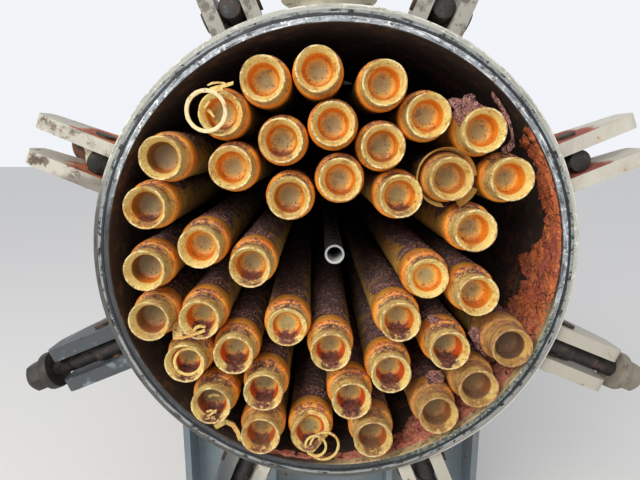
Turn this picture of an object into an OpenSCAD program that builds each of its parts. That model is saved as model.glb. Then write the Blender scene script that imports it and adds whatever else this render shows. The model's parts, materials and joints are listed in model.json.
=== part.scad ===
// Horizontal cartridge gas filter vessel with its swing-bolt closure standing open.
// The vessel axis runs along Y, with the open end towards -Y and +Z up.
// The origin is the middle of the front saddle's foot, on the ground. Sizes are in millimetres.

/* [Vessel] */
// Height of the vessel axis above the ground
axis_h = 1250; // [1150:10:1500]
// Wall of the rolled shell
shell_wall = 19; // [14:1:25]
// Clear space between the outer row's caps and the shell
bundle_gap = 19; // [15:1:40]
// Length from the ring face to the tube sheet
chamber_len = 1900; // [1700:10:2200]
// Thickness of the tube sheet
sheet_t = 40; // [30:1:60]
// Length of the outlet chamber behind the tube sheet, up to the head
plenum_len = 700; // [640:10:900]
// Straight skirt of the rear head
head_skirt = 40; // [25:5:60]
// Half angle of the crown and belly plates that carry the nozzles
strip_half = 25; // [23:0.5:30]

/* [Closure ring] */
// How far the ring stands proud of the shell
ring_proud = 17; // [12:1:25]
// Length of the ring's full-diameter part
ring_len = 130; // [110:5:180]
// Length of the weld taper behind it
ring_taper = 60; // [40:5:90]
// Width of the machined land inside the seal
inner_land = 13; // [10:0.5:16]
// Bevel of the ring's edges
ring_bevel = 2; // [1:0.5:3]
// Width of the seal groove
groove_w = 12.5; // [9:0.5:14]
// Depth of the seal groove
groove_d = 9; // [6:1:14]
// How far the seal stands out of its groove
seal_proud = 1.5; // [0.5:0.5:3]

/* [Swing bolts] */
// Height of the hinge pin above the ring's rim
pivot_rise = 46; // [44:1:60]
// Distance of the hinge pin behind the ring face
pivot_back = 68; // [60:1:80]
// Diameter of the hinge pin
pin_d = 31.8; // [28:0.2:34]
// Diameter of the bolt's round head
eye_d = 50; // [46:1:52]
// Length of the head inside the pin
eye_in = 31; // [28:1:32]
// Length of the head outside the pin
eye_out = 48; // [40:1:60]
// Diameter of the bolt's shank
shank_d = 41.3; // [36:0.1:44]
// Distance from the pin to the washer
washer_at = 160; // [155:1:180]
// Outer diameter of the washer
washer_d = 95; // [85:1:105]
// Thickness of the washer
washer_t = 24; // [16:1:30]
// Width of the nut across its flats
nut_af = 65; // [60:1:70]
// Height of the nut
nut_h = 41; // [36:1:46]
// Length of bare thread beyond the nut
thread_end = 8; // [4:1:30]
// Angle that the stiff upper left bolt lies back
stiff_angle = 60; // [45:1:80]

/* [Lugs] */
// Thickness of one lug plate
lug_t = 32; // [25:1:38]
// Gap between the two plates of a lug
lug_gap = 52; // [51.5:0.5:60]
// Distance of the lug's front edge behind the ring face
lug_setback = 22; // [15:1:30]
// Reach of the lug tip beyond the hinge pin
lug_reach = 141; // [120:1:145]
// Width of the lug at its tip
lug_tip_w = 92; // [80:1:95]
// Width of the lug at the shell
lug_foot_w = 200; // [180:1:205]
// Radius of the lug's tip corners
lug_corner = 26; // [15:1:35]

/* [Cartridges] */
// Outer diameter of the cap collar, which sets the layout's spacing
collar_d = 112; // [104:1:120]
// Outer diameter of the wound filter body
body_d = 108; // [100:1:110]
// Diameter of the bore through the filter body
body_bore = 72; // [64:1:78]
// Distance of the collar's front behind the ring face
collar_back = 20; // [10:5:150]
// Length of the collar's sleeve over the body
sleeve_len = 45; // [30:1:60]
// Outer diameter of the cap's neck
neck_d = 92; // [84:1:98]
// Length of the neck in front of the collar
neck_len = 55; // [40:1:70]
// Diameter of the recess at the neck's mouth
recess_d = 70; // [60:1:76]
// Diameter of the recess where its taper meets the floor's curve
recess_foot_d = 60; // [50:1:60]
// Thickness of the recess floor
floor_t = 10; // [6:1:14]
// Height of the recess floor in front of the collar
floor_rise = 2; // [1:0.5:5]
// Bevel of the cap's edges
cap_rim = 3; // [1:0.5:4]
// Width of the bead round the foot of the neck
cap_bead = 2; // [1:0.5:3]
// Height of the dished part of the recess
cap_dish = 12; // [8:1:16]

/* [Risers and centre rod] */
// Outer diameter of a riser
riser_d = 60.3; // [50:0.1:62]
// Bore of a riser
riser_bore = 52; // [44:1:54]
// Length of a riser
riser_len = 75; // [50:5:100]
// Outer diameter of the centre rod, a pipe
rod_d = 48.3; // [42:0.1:60]
// Wall of the centre rod
rod_wall = 5; // [3:0.5:7]
// Distance of the centre rod's end behind the ring face
rod_back = 92; // [60:1:200]

/* [Saddles] */
// Distance of the front saddle's web behind the ring face
saddle_front = 413; // [413:1:480]
// Distance of the rear saddle's web in front of the rear head
saddle_rear = 397; // [390:1:420]
// Width of a saddle
saddle_w = 940; // [880:10:980]
// Depth of a saddle's foot and side ribs
saddle_depth = 200; // [160:5:200]
// Thickness of the saddle's web
web_t = 16; // [10:1:22]
// Thickness of the saddle's ribs
rib_t = 20; // [12:1:25]
// Thickness of the saddle's foot
foot_t = 25; // [16:1:32]
// Thickness of the wear plate
wear_t = 12; // [8:1:20]
// Diameter of the anchor bolt holes
anchor_d = 28; // [22:1:34]
// Spacing of the anchor holes across the vessel
anchor_x = 800; // [700:10:820]
// Spacing of the anchor holes along the vessel
anchor_y = 130; // [110:5:140]

/* [Nozzles] */
// Outer diameter of the main nozzle pipe
nozzle_d = 219.1; // [168.3:0.1:273]
// Wall of the main nozzle pipe
nozzle_wall = 12.7; // [8:0.1:18]
// Height of the flange face above the shell
nozzle_h = 330; // [280:5:400]
// Outer diameter of the main flange
flange_d = 381; // [370:1:420]
// Thickness of the main flange, with its raised face
flange_t = 41.3; // [30:0.1:60]
// Diameter of the main flange's raised face
flange_face_d = 269.9; // [250:0.1:290]
// Diameter of the weld neck where it meets the main flange
hub_d = 260.4; // [240:0.1:280]
// Length of the weld neck's taper
hub_len = 66; // [40:1:90]
// Bolt circle of the main flange
flange_pcd = 330.2; // [325:0.1:350]
// Bolt holes in the main flange
flange_holes = 12; // [8:4:16]
// Diameter of the main flange's bolt holes
flange_hole_d = 25.4; // [20:0.1:28]
// Width of the pad around a main nozzle
pad_w = 85; // [60:5:110]
// Thickness of the pad around a main nozzle
pad_t = 16; // [10:1:20]
// Distance of the inlet nozzle behind the ring face
inlet_at = 1000; // [800:10:1400]
// Distance of the outlet nozzle behind the tube sheet
outlet_at = 350; // [320:5:400]
// Outer diameter of a drain pipe
drain_d = 60.3; // [48.3:0.1:73]
// Wall of a drain pipe
drain_wall = 5.5; // [4:0.1:8]
// Length of a drain below the shell
drain_len = 150; // [120:5:220]
// Outer diameter of a drain flange
drain_flange_d = 165; // [150:1:190]
// Thickness of a drain flange
drain_flange_t = 22; // [18:0.5:30]
// Bolt circle of a drain flange
drain_pcd = 127; // [120:1:140]
// Bolt holes in a drain flange
drain_holes = 8; // [4:4:8]
// Diameter of a drain flange's bolt holes
drain_hole_d = 19; // [16:0.5:22]
// Diameter of a drain flange's raised face
drain_face_d = 92.1; // [85:0.1:100]
// Height of a raised face
raised = 1.6; // [1:0.1:3]
// Distance of the front drain behind the ring face
front_drain_at = 1250; // [1200:10:1500]
// Distance of the rear drain in front of the rear head
rear_drain_at = 150; // [120:10:180]

/* [Top fittings] */
// Outer diameter of the vent and gauge couplings
coupling_d = 57; // [44:1:70]
// Thread bore of a coupling
coupling_bore = 27; // [20:1:34]
// Height of a coupling above the shell
coupling_h = 45; // [30:1:70]
// Distance of the vent coupling in front of the tube sheet
vent_at = 250; // [150:10:350]
// Distance of the gauge coupling behind the tube sheet's front
gauge_at = 120; // [80:5:130]
// Thickness of a lifting lug
lift_t = 25; // [19:1:32]
// Width of a lifting lug
lift_w = 130; // [100:5:160]
// Height of the lifting hole above the shell
lift_h = 75; // [60:5:100]
// Diameter of the lifting hole
lift_hole_d = 50; // [40:1:60]
// Distance of the front lifting lug behind the ring face
front_lift_at = 600; // [450:10:700]
// Distance of the rear lifting lug in front of the tube sheet
rear_lift_at = 120; // [80:5:150]

/* [Hidden] */
// Gap left where two curved faces of one body seat on each other
seat = 0.3;
// Running clearance of a hinge pin in its holes
pin_fit = 0.05;
// Gap between a bolt lying back and the shell it leans on
lean_gap = 0.6;
big = 6000;
// Swing bolts, and the angle of the first one above the horizontal
bolt_count = 8;
first_angle = 22.5;

// The row radii, counted in collar diameters, from the centre outwards
row_r = [for (k = [1.6, 2.76, 3.92]) k * collar_d];
// Sockets in each row, and the angle of each row's first socket
row_n = [8, 14, 21];
row_phase = [-5, 10, 23.7];

shell_ir = row_r[2] + collar_d / 2 + bundle_gap;
shell_or = shell_ir + shell_wall;
ring_or = shell_or + ring_proud;
ring_end = ring_len + ring_taper;
head_y = chamber_len + sheet_t + plenum_len;
// A 2:1 elliptical head is half as deep as its radius
head_in = shell_ir / 2;
rear_end = head_y + head_skirt + head_in + shell_wall;

pivot_r = ring_or + pivot_rise;
nut_at = washer_at + washer_t;
bolt_end = nut_at + nut_h + thread_end;
// A bolt that lies back leans on the shell with the far edge of its washer
lean_reach = norm([nut_at, washer_d / 2]);
rear_angle = 90 + asin((pivot_r - shell_or - lean_gap) / lean_reach) - atan2(washer_d / 2, nut_at);
// Lie-back angle of each bolt at rest: 0 hangs straight out from the ring
bolt_back = [rear_angle, rear_angle, rear_angle, stiff_angle, 0, 0, 0, 0];

wear_r = shell_or + wear_t;
nozzle_r = nozzle_d / 2;
pad_r = nozzle_r + pad_w;
drain_r = drain_d / 2;
course_y = chamber_len + sheet_t / 2;
nozzle_at = [inlet_at, chamber_len + sheet_t + outlet_at];
drain_at = [front_drain_at, head_y - rear_drain_at];
coupling_at = [chamber_len - vent_at, chamber_len + gauge_at];
lift_at = [front_lift_at, chamber_len - rear_lift_at];
saddle_at = [saddle_front, head_y - saddle_rear];

// Where each free end has sagged to, across and up from the axis, in collar diameters.
// Outer row, going round from the upper right. The last two sockets have lost theirs.
outer_free = [
    [3.35, 1.72], [2.76, 2.63], [1.71, 2.91], [0.87, 3.49], [-0.36, 3.73], [-1.37, 3.56],
    [-2.19, 2.95], [-3.33, 2.13], [-3.70, 1.18], [-3.80, -0.07], [-3.78, -1.13], [-3.11, -2.05],
    [-2.61, -3.00], [-1.59, -3.71], [-0.53, -3.73], [0.81, -3.79], [2.17, -3.23], [2.98, -2.62],
    [3.61, -1.71]
];
middle_free = [
    [2.71, 0.72], [2.19, 1.73], [0.88, 2.34], [-0.07, 2.75], [-1.05, 2.45], [-2.02, 1.94],
    [-2.69, 0.40], [-2.76, -1.09], [-2.10, -1.86], [-1.50, -2.69], [0.33, -2.89], [1.15, -2.29],
    [2.33, -1.77], [2.84, -0.60]
];
inner_free = [
    [1.87, -0.29], [1.23, 1.39], [0.07, 1.71], [-0.92, 1.36], [-1.70, 0.00], [-1.01, -1.33],
    [-0.10, -1.79], [1.30, -1.15]
];

$fn = 96;

// Children drawn along +Z stand on the vessel axis, with +Z turned to run along +Y.
// y is the distance behind the ring face.
module on_axis(y = 0)
    translate([0, y - saddle_front, axis_h]) rotate([-90, 0, 0]) children();

// Children drawn with +X outwards and +Y rearwards are turned to an angle round the axis.
module round_axis(angle)
    translate([0, -saddle_front, axis_h]) rotate([0, -angle, 0]) children();

// Children drawn along +Z stand upright over the vessel axis.
module upright(y)
    translate([0, y - saddle_front, axis_h]) children();

// Turns children drawn along +Z to point along a vector.
module aim(v)
    rotate([0, acos(v.z / norm(v)), atan2(v.y, v.x)]) children();

module tube(r_out, r_in, h)
    difference() {
        cylinder(r = r_out, h = h);
        translate([0, 0, -1]) cylinder(r = r_in, h = h + 2);
    }

// Closure ring

module closure_ring()
    color("gray") on_axis() rotate_extrude($fn = 180) polygon([
        [shell_ir, ring_bevel],
        [shell_ir + ring_bevel, 0],
        [shell_ir + inner_land, 0],
        [shell_ir + inner_land, groove_d],
        [shell_ir + inner_land + groove_w, groove_d],
        [shell_ir + inner_land + groove_w, 0],
        [ring_or - ring_bevel, 0],
        [ring_or, ring_bevel],
        [ring_or, ring_len],
        [shell_or, ring_end],
        [shell_ir, ring_end]
    ]);

module seal_ring()
    color("slategray") on_axis(-seal_proud)
        tube(shell_ir + inner_land + groove_w - seat, shell_ir + inner_land + seat, groove_d + seal_proud);

// Lugs and hinge pins

// One lug plate's outline: X outwards from the axis, Y rearwards from the ring face.
module lug_outline() {
    tip = pivot_r + lug_reach;
    front = lug_setback;
    back = lug_setback + lug_tip_w;
    polygon(concat(
        [[shell_ir, front]],
        [for (a = [-90:15:0]) [tip - lug_corner + lug_corner * cos(a), front + lug_corner + lug_corner * sin(a)]],
        [for (a = [0:15:60]) [tip - lug_corner + lug_corner * cos(a), back - lug_corner + lug_corner * sin(a)]],
        [[shell_or, front + lug_foot_w], [shell_ir, front + lug_foot_w]]
    ));
}

module lug_pair(angle)
    round_axis(angle) difference() {
        for (side = [-1, 1])
            translate([0, 0, side * (lug_gap + lug_t) / 2 - lug_t / 2])
                linear_extrude(lug_t) lug_outline();
        translate([pivot_r, pivot_back, -lug_gap / 2 - lug_t - 1])
            cylinder(d = pin_d + 2 * pin_fit, h = lug_gap + 2 * lug_t + 2);
    }

module closure_lugs()
    color("gainsboro") difference() {
        for (i = [0:bolt_count - 1]) lug_pair(first_angle + 360 / bolt_count * i);
        on_axis(-1) rotate_extrude($fn = 180) polygon([
            [0, 0],
            [ring_or + seat, 0],
            [ring_or + seat, ring_len + 1],
            [shell_or + seat, ring_end + 1],
            [shell_or + seat, ring_end + lug_foot_w],
            [0, ring_end + lug_foot_w]
        ]);
    }

// A pin passes both plates, with a round head outside each of them.
module hinge_pin() {
    head_t = 7;
    span = lug_gap + 2 * lug_t;
    translate([pivot_r, pivot_back, 0]) {
        translate([0, 0, -span / 2 - head_t]) cylinder(d = pin_d, h = span + 2 * head_t);
        for (side = [-1, 1])
            translate([0, 0, side * (span / 2 + seat + head_t / 2) - head_t / 2])
                cylinder(d = pin_d * 1.35, h = head_t);
    }
}

module hinge_pins()
    color("dimgray") for (i = [0:bolt_count - 1])
        round_axis(first_angle + 360 / bolt_count * i) hinge_pin();

// Swing bolts

// Children drawn along +Z, from the pin outwards, are turned to a bolt's own place.
module bolt_place(i)
    round_axis(first_angle + 360 / bolt_count * i)
        translate([pivot_r, pivot_back, 0]) rotate([0, 0, bolt_back[i]]) rotate([0, 90, 0]) children();

module swing_bolt(i)
    color("dimgray") bolt_place(i) difference() {
        union() {
            translate([0, 0, -eye_in]) cylinder(d = eye_d, h = eye_in + eye_out);
            cylinder(d = shank_d, h = bolt_end);
        }
        rotate([0, 90, 0]) translate([0, 0, -eye_d])
            cylinder(d = pin_d + 2 * pin_fit, h = 2 * eye_d);
    }

module bolt_nut(i)
    color("saddlebrown") bolt_place(i) difference() {
        union() {
            translate([0, 0, washer_at]) cylinder(d = washer_d, h = washer_t);
            translate([0, 0, nut_at]) cylinder(d = nut_af / cos(30), h = nut_h, $fn = 6);
        }
        translate([0, 0, washer_at - 1]) cylinder(d = shank_d + 2 * seat, h = washer_t + nut_h + 2);
    }

// Shell, head and tube sheet

// A sector of the vessel's section. The angles are counted from the top.
module sector(middle, half)
    polygon([[0, 0], for (a = [-half, 0, half]) big * [sin(middle + a), -cos(middle + a)]]);

// A rolled plate of one course, between two straight seams
module rolled_plate(y_from, y_to, middle, half)
    on_axis(y_from) linear_extrude(y_to - y_from) intersection() {
        difference() {
            circle(r = shell_or, $fn = 180);
            circle(r = shell_ir, $fn = 180);
        }
        sector(middle, half);
    }

// The crown plate of a course has the nozzle's hole and a coupling's hole.
module crown(y_from, y_to, nozzle_y, coupling_y)
    color("silver") difference() {
        rolled_plate(y_from, y_to, 0, strip_half);
        upright(nozzle_y) cylinder(r = nozzle_r - nozzle_wall, h = 2 * shell_or);
        upright(coupling_y) cylinder(d = coupling_bore, h = 2 * shell_or);
    }

// The belly plate of a course has the drain's hole.
module belly(y_from, y_to, drain_y)
    color("silver") difference() {
        rolled_plate(y_from, y_to, 180, strip_half);
        upright(drain_y) rotate([180, 0, 0]) cylinder(r = drain_r - drain_wall, h = 2 * shell_or);
    }

module sides(y_from, y_to)
    color("silver") for (middle = [-90, 90]) rolled_plate(y_from, y_to, middle, 90 - strip_half);

module front_crown() crown(ring_end, course_y, nozzle_at[0], coupling_at[0]);
module front_belly() belly(ring_end, course_y, drain_at[0]);
module front_sides() sides(ring_end, course_y);
module rear_crown() crown(course_y, head_y, nozzle_at[1], coupling_at[1]);
module rear_belly() belly(course_y, head_y, drain_at[1]);
module rear_sides() sides(course_y, head_y);

module rear_head()
    color("silver") on_axis(head_y) rotate_extrude($fn = 180) polygon(concat(
        [[shell_ir, 0], [shell_or, 0]],
        [for (a = [0:5:90]) [shell_or * cos(a), head_skirt + (head_in + shell_wall) * sin(a)]],
        [for (a = [90:-5:0]) [shell_ir * cos(a), head_skirt + head_in * sin(a)]]
    ));

// Where a socket sits on the tube sheet, across and up from the axis
function socket(row, i) =
    let (a = row_phase[row] + 360 / row_n[row] * i) [row_r[row] * cos(a), row_r[row] * sin(a)];

module tube_sheet()
    color("rosybrown") difference() {
        union() {
            on_axis(chamber_len) cylinder(r = shell_ir - seat, h = sheet_t, $fn = 180);
            for (row = [0:2], i = [0:row_n[row] - 1])
                translate([socket(row, i).x, 0, socket(row, i).y])
                    on_axis(chamber_len - riser_len) cylinder(d = riser_d, h = riser_len + 1, $fn = 48);
        }
        for (row = [0:2], i = [0:row_n[row] - 1])
            translate([socket(row, i).x, 0, socket(row, i).y])
                on_axis(chamber_len - riser_len - 1)
                    cylinder(d = riser_bore, h = riser_len + sheet_t + 2, $fn = 48);
    }

module centre_rod()
    color("lightgray") on_axis(rod_back)
        tube(rod_d / 2, rod_d / 2 - rod_wall, chamber_len - rod_back, $fn = 64);

// Cartridges

// The vector from a cartridge's socket to its free end, which is at the collar's front
function lean(row, i, free) =
    [free[i].x * collar_d - socket(row, i).x,
     collar_back - chamber_len,
     free[i].y * collar_d - socket(row, i).y];

// Children drawn along +Z, from the tube sheet to the collar's front, follow a leaning cartridge.
module cartridge_place(row, i, free)
    translate([socket(row, i).x, chamber_len - saddle_front, axis_h + socket(row, i).y])
        aim(lean(row, i, free)) children();

module cartridges(row, free)
    color("tan") difference() {
        for (i = [0:len(free) - 1]) cartridge_place(row, i, free)
            translate([0, 0, -body_d / 4])
                tube(body_d / 2, body_bore / 2, body_d / 4 + norm(lean(row, i, free)) - floor_t + floor_rise);
        translate([-big / 4, chamber_len - seat - saddle_front, axis_h - big / 4])
            cube([big / 2, body_d, big / 2]);
    }

// A moulded cap: a sleeve over the filter body, a shoulder with a bead on it, and a neck with a
// tapered recess.
module cap() {
    r = neck_d / 2;
    foot_r = recess_foot_d / 2;
    rotate_extrude($fn = 64) polygon([
        [0, floor_rise - floor_t],
        [body_d / 2 + seat, floor_rise - floor_t],
        [body_d / 2 + seat, -sleeve_len],
        [collar_d / 2, -sleeve_len],
        [collar_d / 2, -2 * cap_rim],
        [collar_d / 2 - cap_rim, 0],
        [r + cap_bead, cap_rim / 2],
        [r + cap_bead, 2 * cap_rim],
        [r, 2 * cap_rim + cap_bead],
        [r, neck_len - cap_rim],
        [r - cap_rim, neck_len],
        [recess_d / 2 + cap_rim / 3, neck_len],
        [recess_d / 2, neck_len - cap_rim],
        [foot_r, cap_dish],
        [foot_r - cap_dish / 2, 2 * floor_rise],
        [foot_r - cap_dish, floor_rise],
        [0, floor_rise]
    ]);
}

module caps(row, free)
    color("orange") for (i = [0:len(free) - 1]) cartridge_place(row, i, free)
        translate([0, 0, norm(lean(row, i, free))]) cap();

module outer_cartridges() cartridges(2, outer_free);
module middle_cartridges() cartridges(1, middle_free);
module inner_cartridges() cartridges(0, inner_free);
module outer_caps() caps(2, outer_free);
module middle_caps() caps(1, middle_free);
module inner_caps() caps(0, inner_free);

// Saddles

// A foot, a web across the vessel, and four ribs, cut to the wear plate's curve.
module saddle(y) {
    corner_h = axis_h - sqrt(pow(wear_r, 2) - pow(saddle_w / 2, 2));
    inner_rib = saddle_w / 5;
    rib_x = [rib_t / 2 - saddle_w / 2, -inner_rib, inner_rib, saddle_w / 2 - rib_t / 2];
    color("lightslategray") translate([0, y - saddle_front, 0]) difference() {
        union() {
            translate([-saddle_w / 2, -saddle_depth / 2, 0]) cube([saddle_w, saddle_depth, foot_t]);
            translate([-saddle_w / 2, -web_t / 2, 0]) cube([saddle_w, web_t, corner_h]);
            for (x = rib_x)
                translate([x - rib_t / 2, -saddle_depth / 2, 0]) cube([rib_t, saddle_depth, corner_h]);
        }
        translate([0, -saddle_depth, axis_h]) rotate([-90, 0, 0])
            cylinder(r = wear_r + seat, h = 2 * saddle_depth, $fn = 180);
        for (sx = [-1, 1], sy = [-1, 1])
            translate([sx * anchor_x / 2, sy * anchor_y / 2, -1])
                cylinder(d = anchor_d, h = foot_t + 2, $fn = 48);
    }
}

// A plate rolled to the shell, under each saddle
module wear_plates() {
    overhang = 3;
    half = asin(saddle_w / 2 / wear_r) + overhang;
    color("lightslategray") for (y = saddle_at)
        on_axis(y - saddle_depth / 2) linear_extrude(saddle_depth) intersection() {
            difference() {
                circle(r = wear_r, $fn = 180);
                circle(r = shell_or + seat, $fn = 180);
            }
            sector(180, half);
        }
}

module front_saddle() saddle(saddle_at[0]);
module rear_saddle() saddle(saddle_at[1]);

// Nozzles and drains

// A pipe on end over the axis, cut to the shell
module set_on_pipe(r, wall, h)
    difference() {
        children();
        translate([0, 0, -1]) cylinder(r = r - wall, h = shell_or + h + 2);
        translate([0, -2 * r, 0]) rotate([-90, 0, 0]) cylinder(r = shell_or + seat, h = 4 * r, $fn = 180);
    }

module flange(d, t, face_d, pcd, holes, hole_d, bore_d)
    difference() {
        union() {
            cylinder(d = d, h = t - raised);
            cylinder(d = face_d, h = t);
        }
        translate([0, 0, -1]) cylinder(d = bore_d, h = t + 2);
        for (i = [0:holes - 1]) rotate(360 / holes * (i + 0.5)) translate([pcd / 2, 0, -1])
            cylinder(d = hole_d, h = t + 2, $fn = 32);
    }

// Each pipe ends in the tapered neck of its flange.
module nozzle_pipes() {
    top = shell_or + nozzle_h - flange_t;
    color("silver") for (y = nozzle_at) upright(y) set_on_pipe(nozzle_r, nozzle_wall, nozzle_h) {
        cylinder(r = nozzle_r, h = top);
        translate([0, 0, top - hub_len]) cylinder(r1 = nozzle_r, r2 = hub_d / 2, h = hub_len);
    }
}

module nozzle_flanges()
    color("silver") for (y = nozzle_at) upright(y) translate([0, 0, shell_or + nozzle_h - flange_t])
        flange(flange_d, flange_t, flange_face_d, flange_pcd, flange_holes, flange_hole_d,
            nozzle_d - 2 * nozzle_wall);

// A plate rolled to the shell, round the foot of each main nozzle
module nozzle_pads()
    color("silver") for (y = nozzle_at) upright(y) intersection() {
        translate([0, -2 * pad_r, 0]) rotate([-90, 0, 0])
            tube(shell_or + pad_t, shell_or + seat, 4 * pad_r, $fn = 180);
        tube(pad_r, nozzle_r + seat, shell_or + nozzle_h);
    }

module drain_pipes()
    color("silver") for (y = drain_at) upright(y) rotate([180, 0, 0])
        set_on_pipe(drain_r, drain_wall, drain_len)
            cylinder(r = drain_r, h = shell_or + drain_len - drain_flange_t);

module drain_flanges()
    color("silver") for (y = drain_at) upright(y) rotate([180, 0, 0])
        translate([0, 0, shell_or + drain_len - drain_flange_t])
            flange(drain_flange_d, drain_flange_t, drain_face_d, drain_pcd, drain_holes, drain_hole_d,
                drain_d - 2 * drain_wall);

// Top fittings

module couplings()
    color("silver") for (y = coupling_at) upright(y)
        set_on_pipe(coupling_d / 2, (coupling_d - coupling_bore) / 2, coupling_h)
            cylinder(d = coupling_d, h = shell_or + coupling_h);

// A round-topped plate on end, along the vessel, with a hole for a shackle
module lifting_lug(y)
    difference() {
        upright(y) rotate([90, 0, 90]) translate([0, 0, -lift_t / 2]) linear_extrude(lift_t) difference() {
            union() {
                translate([-lift_w / 2, 0]) square([lift_w, shell_or + lift_h]);
                translate([0, shell_or + lift_h]) circle(d = lift_w);
            }
            translate([0, shell_or + lift_h]) circle(d = lift_hole_d);
        }
        on_axis(y - lift_w) cylinder(r = shell_or + seat, h = 2 * lift_w, $fn = 180);
    }

module lifting_lugs()
    color("silver") for (y = lift_at) lifting_lug(y);

closure_ring();
seal_ring();
closure_lugs();
hinge_pins();
for (i = [1:8]) {
    swing_bolt(i - 1);
    bolt_nut(i - 1);
}
front_crown();
front_belly();
front_sides();
rear_crown();
rear_belly();
rear_sides();
rear_head();
tube_sheet();
centre_rod();
outer_cartridges();
middle_cartridges();
inner_cartridges();
outer_caps();
middle_caps();
inner_caps();
front_saddle();
rear_saddle();
wear_plates();
nozzle_pipes();
nozzle_flanges();
nozzle_pads();
drain_pipes();
drain_flanges();
couplings();
lifting_lugs();
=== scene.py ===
"""The looks of a horizontal cartridge gas filter vessel that stands open for a filter change."""
import json
import math
import random

import bpy
from mathutils import Euler, Matrix, Vector
from mathutils.noise import fractal, noise


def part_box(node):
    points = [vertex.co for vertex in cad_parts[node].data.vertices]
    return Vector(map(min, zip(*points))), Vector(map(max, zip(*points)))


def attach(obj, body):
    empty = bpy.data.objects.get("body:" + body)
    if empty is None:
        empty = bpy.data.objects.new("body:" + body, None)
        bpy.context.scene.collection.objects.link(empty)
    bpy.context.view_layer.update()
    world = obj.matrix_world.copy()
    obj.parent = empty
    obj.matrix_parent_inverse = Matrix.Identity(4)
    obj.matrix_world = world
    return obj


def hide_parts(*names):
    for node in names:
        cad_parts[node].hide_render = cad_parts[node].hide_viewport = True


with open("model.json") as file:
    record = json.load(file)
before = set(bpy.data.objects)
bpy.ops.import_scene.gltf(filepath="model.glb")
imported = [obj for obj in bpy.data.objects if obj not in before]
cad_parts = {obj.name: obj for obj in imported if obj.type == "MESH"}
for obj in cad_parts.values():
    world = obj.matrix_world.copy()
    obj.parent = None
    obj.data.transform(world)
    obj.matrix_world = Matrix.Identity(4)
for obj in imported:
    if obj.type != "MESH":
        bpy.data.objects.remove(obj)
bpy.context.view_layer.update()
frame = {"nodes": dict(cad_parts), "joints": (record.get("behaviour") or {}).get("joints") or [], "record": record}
bpy.ops.object.select_all(action="DESELECT")
random.seed(7)

# Camera
# The vessel's axis and its ring face are read from the frame. The camera stands a little left of
# the axis, about a metre in front of the ring, and looks slightly down into the mouth.
ring_low, ring_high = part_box("closure_ring")
axis_z = (ring_low.z + ring_high.z) / 2
face_y = ring_low.y
ring_r = (ring_high.z - ring_low.z) / 2
eye_left = 0.036
eye_ahead = 1.060
eye_above = 0.269
look_down = 11.42
lens = 27
film_wide = 36

eye = Vector((-eye_left, face_y - eye_ahead, axis_z + eye_above))
bpy.ops.object.camera_add(location=eye, rotation=(math.radians(90 - look_down), 0, 0))
camera = bpy.context.object
camera.data.lens = lens
camera.data.sensor_width = film_wide
bpy.context.scene.camera = camera
bpy.context.scene.view_settings.view_transform = "Standard"

# Floor and light
# A plain pale floor, an even pale sky, and one large lamp to the upper left behind the camera.
# The floor and the sky show as the same near-white to the camera and in reflections.
FLOOR_COLOUR = (0.80, 0.79, 0.77, 1)
SKY_STRENGTH = 0.72


def seen_or_mirrored(tree):
    """1 where a ray comes from the camera, or by a mirror or glass, and 0 for lighting rays."""
    path = tree.nodes.new("ShaderNodeLightPath")
    total = path.outputs["Is Camera Ray"]
    for way in ("Is Glossy Ray", "Is Transmission Ray"):
        add = tree.nodes.new("ShaderNodeMath")
        add.operation = "MAXIMUM"
        tree.links.new(total, add.inputs[0])
        tree.links.new(path.outputs[way], add.inputs[1])
        total = add.outputs[0]
    return total


world = bpy.data.worlds.new("pale_sky")
bpy.context.scene.world = world
world.use_nodes = True
sky = world.node_tree.nodes["Background"]
sky.inputs["Color"].default_value = (0.93, 0.95, 1, 1)
strength = world.node_tree.nodes.new("ShaderNodeMix")
strength.inputs["A"].default_value = SKY_STRENGTH
strength.inputs["B"].default_value = 0.95
world.node_tree.links.new(seen_or_mirrored(world.node_tree), strength.inputs["Factor"])
world.node_tree.links.new(strength.outputs[0], sky.inputs["Strength"])

bpy.ops.mesh.primitive_plane_add(size=60, location=(0, 0, 0))
floor = bpy.context.object
floor.name = "floor"
floor_paint = bpy.data.materials.new("pale_floor")
floor_paint.use_nodes = True
floor_paint.node_tree.nodes["Principled BSDF"].inputs["Base Color"].default_value = FLOOR_COLOUR
floor_paint.node_tree.nodes["Principled BSDF"].inputs["Roughness"].default_value = 0.9
floor.data.materials.append(floor_paint)

lamp_spot = Vector((-2.6, face_y - 4.2, axis_z + 3.0))
bpy.ops.object.light_add(type="AREA", location=lamp_spot)
lamp = bpy.context.object
lamp.data.size = 2.6
lamp.data.energy = 260
lamp.data.color = (1, 0.97, 0.92)
lamp.rotation_euler = (Vector((0, face_y, axis_z)) - lamp_spot).to_track_quat("-Z", "Y").to_euler()


# Shell and head
# Rolled steel courses welded end to end, with a dished head. Off-white paint outside has weathered
# and rusts at its chips and welds. Inside the bare wall has a coat of rust and scale,
# painted dark brown to near black: dark rust, and painted shade.
def colour(screen):
    """A screen colour such as #c9c6bb as linear numbers."""
    parts = [int(screen[i:i + 2], 16) / 255 for i in (1, 3, 5)]
    return [c / 12.92 if c < 0.04 else ((c + 0.055) / 1.055) ** 2.4 for c in parts] + [1]


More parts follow.
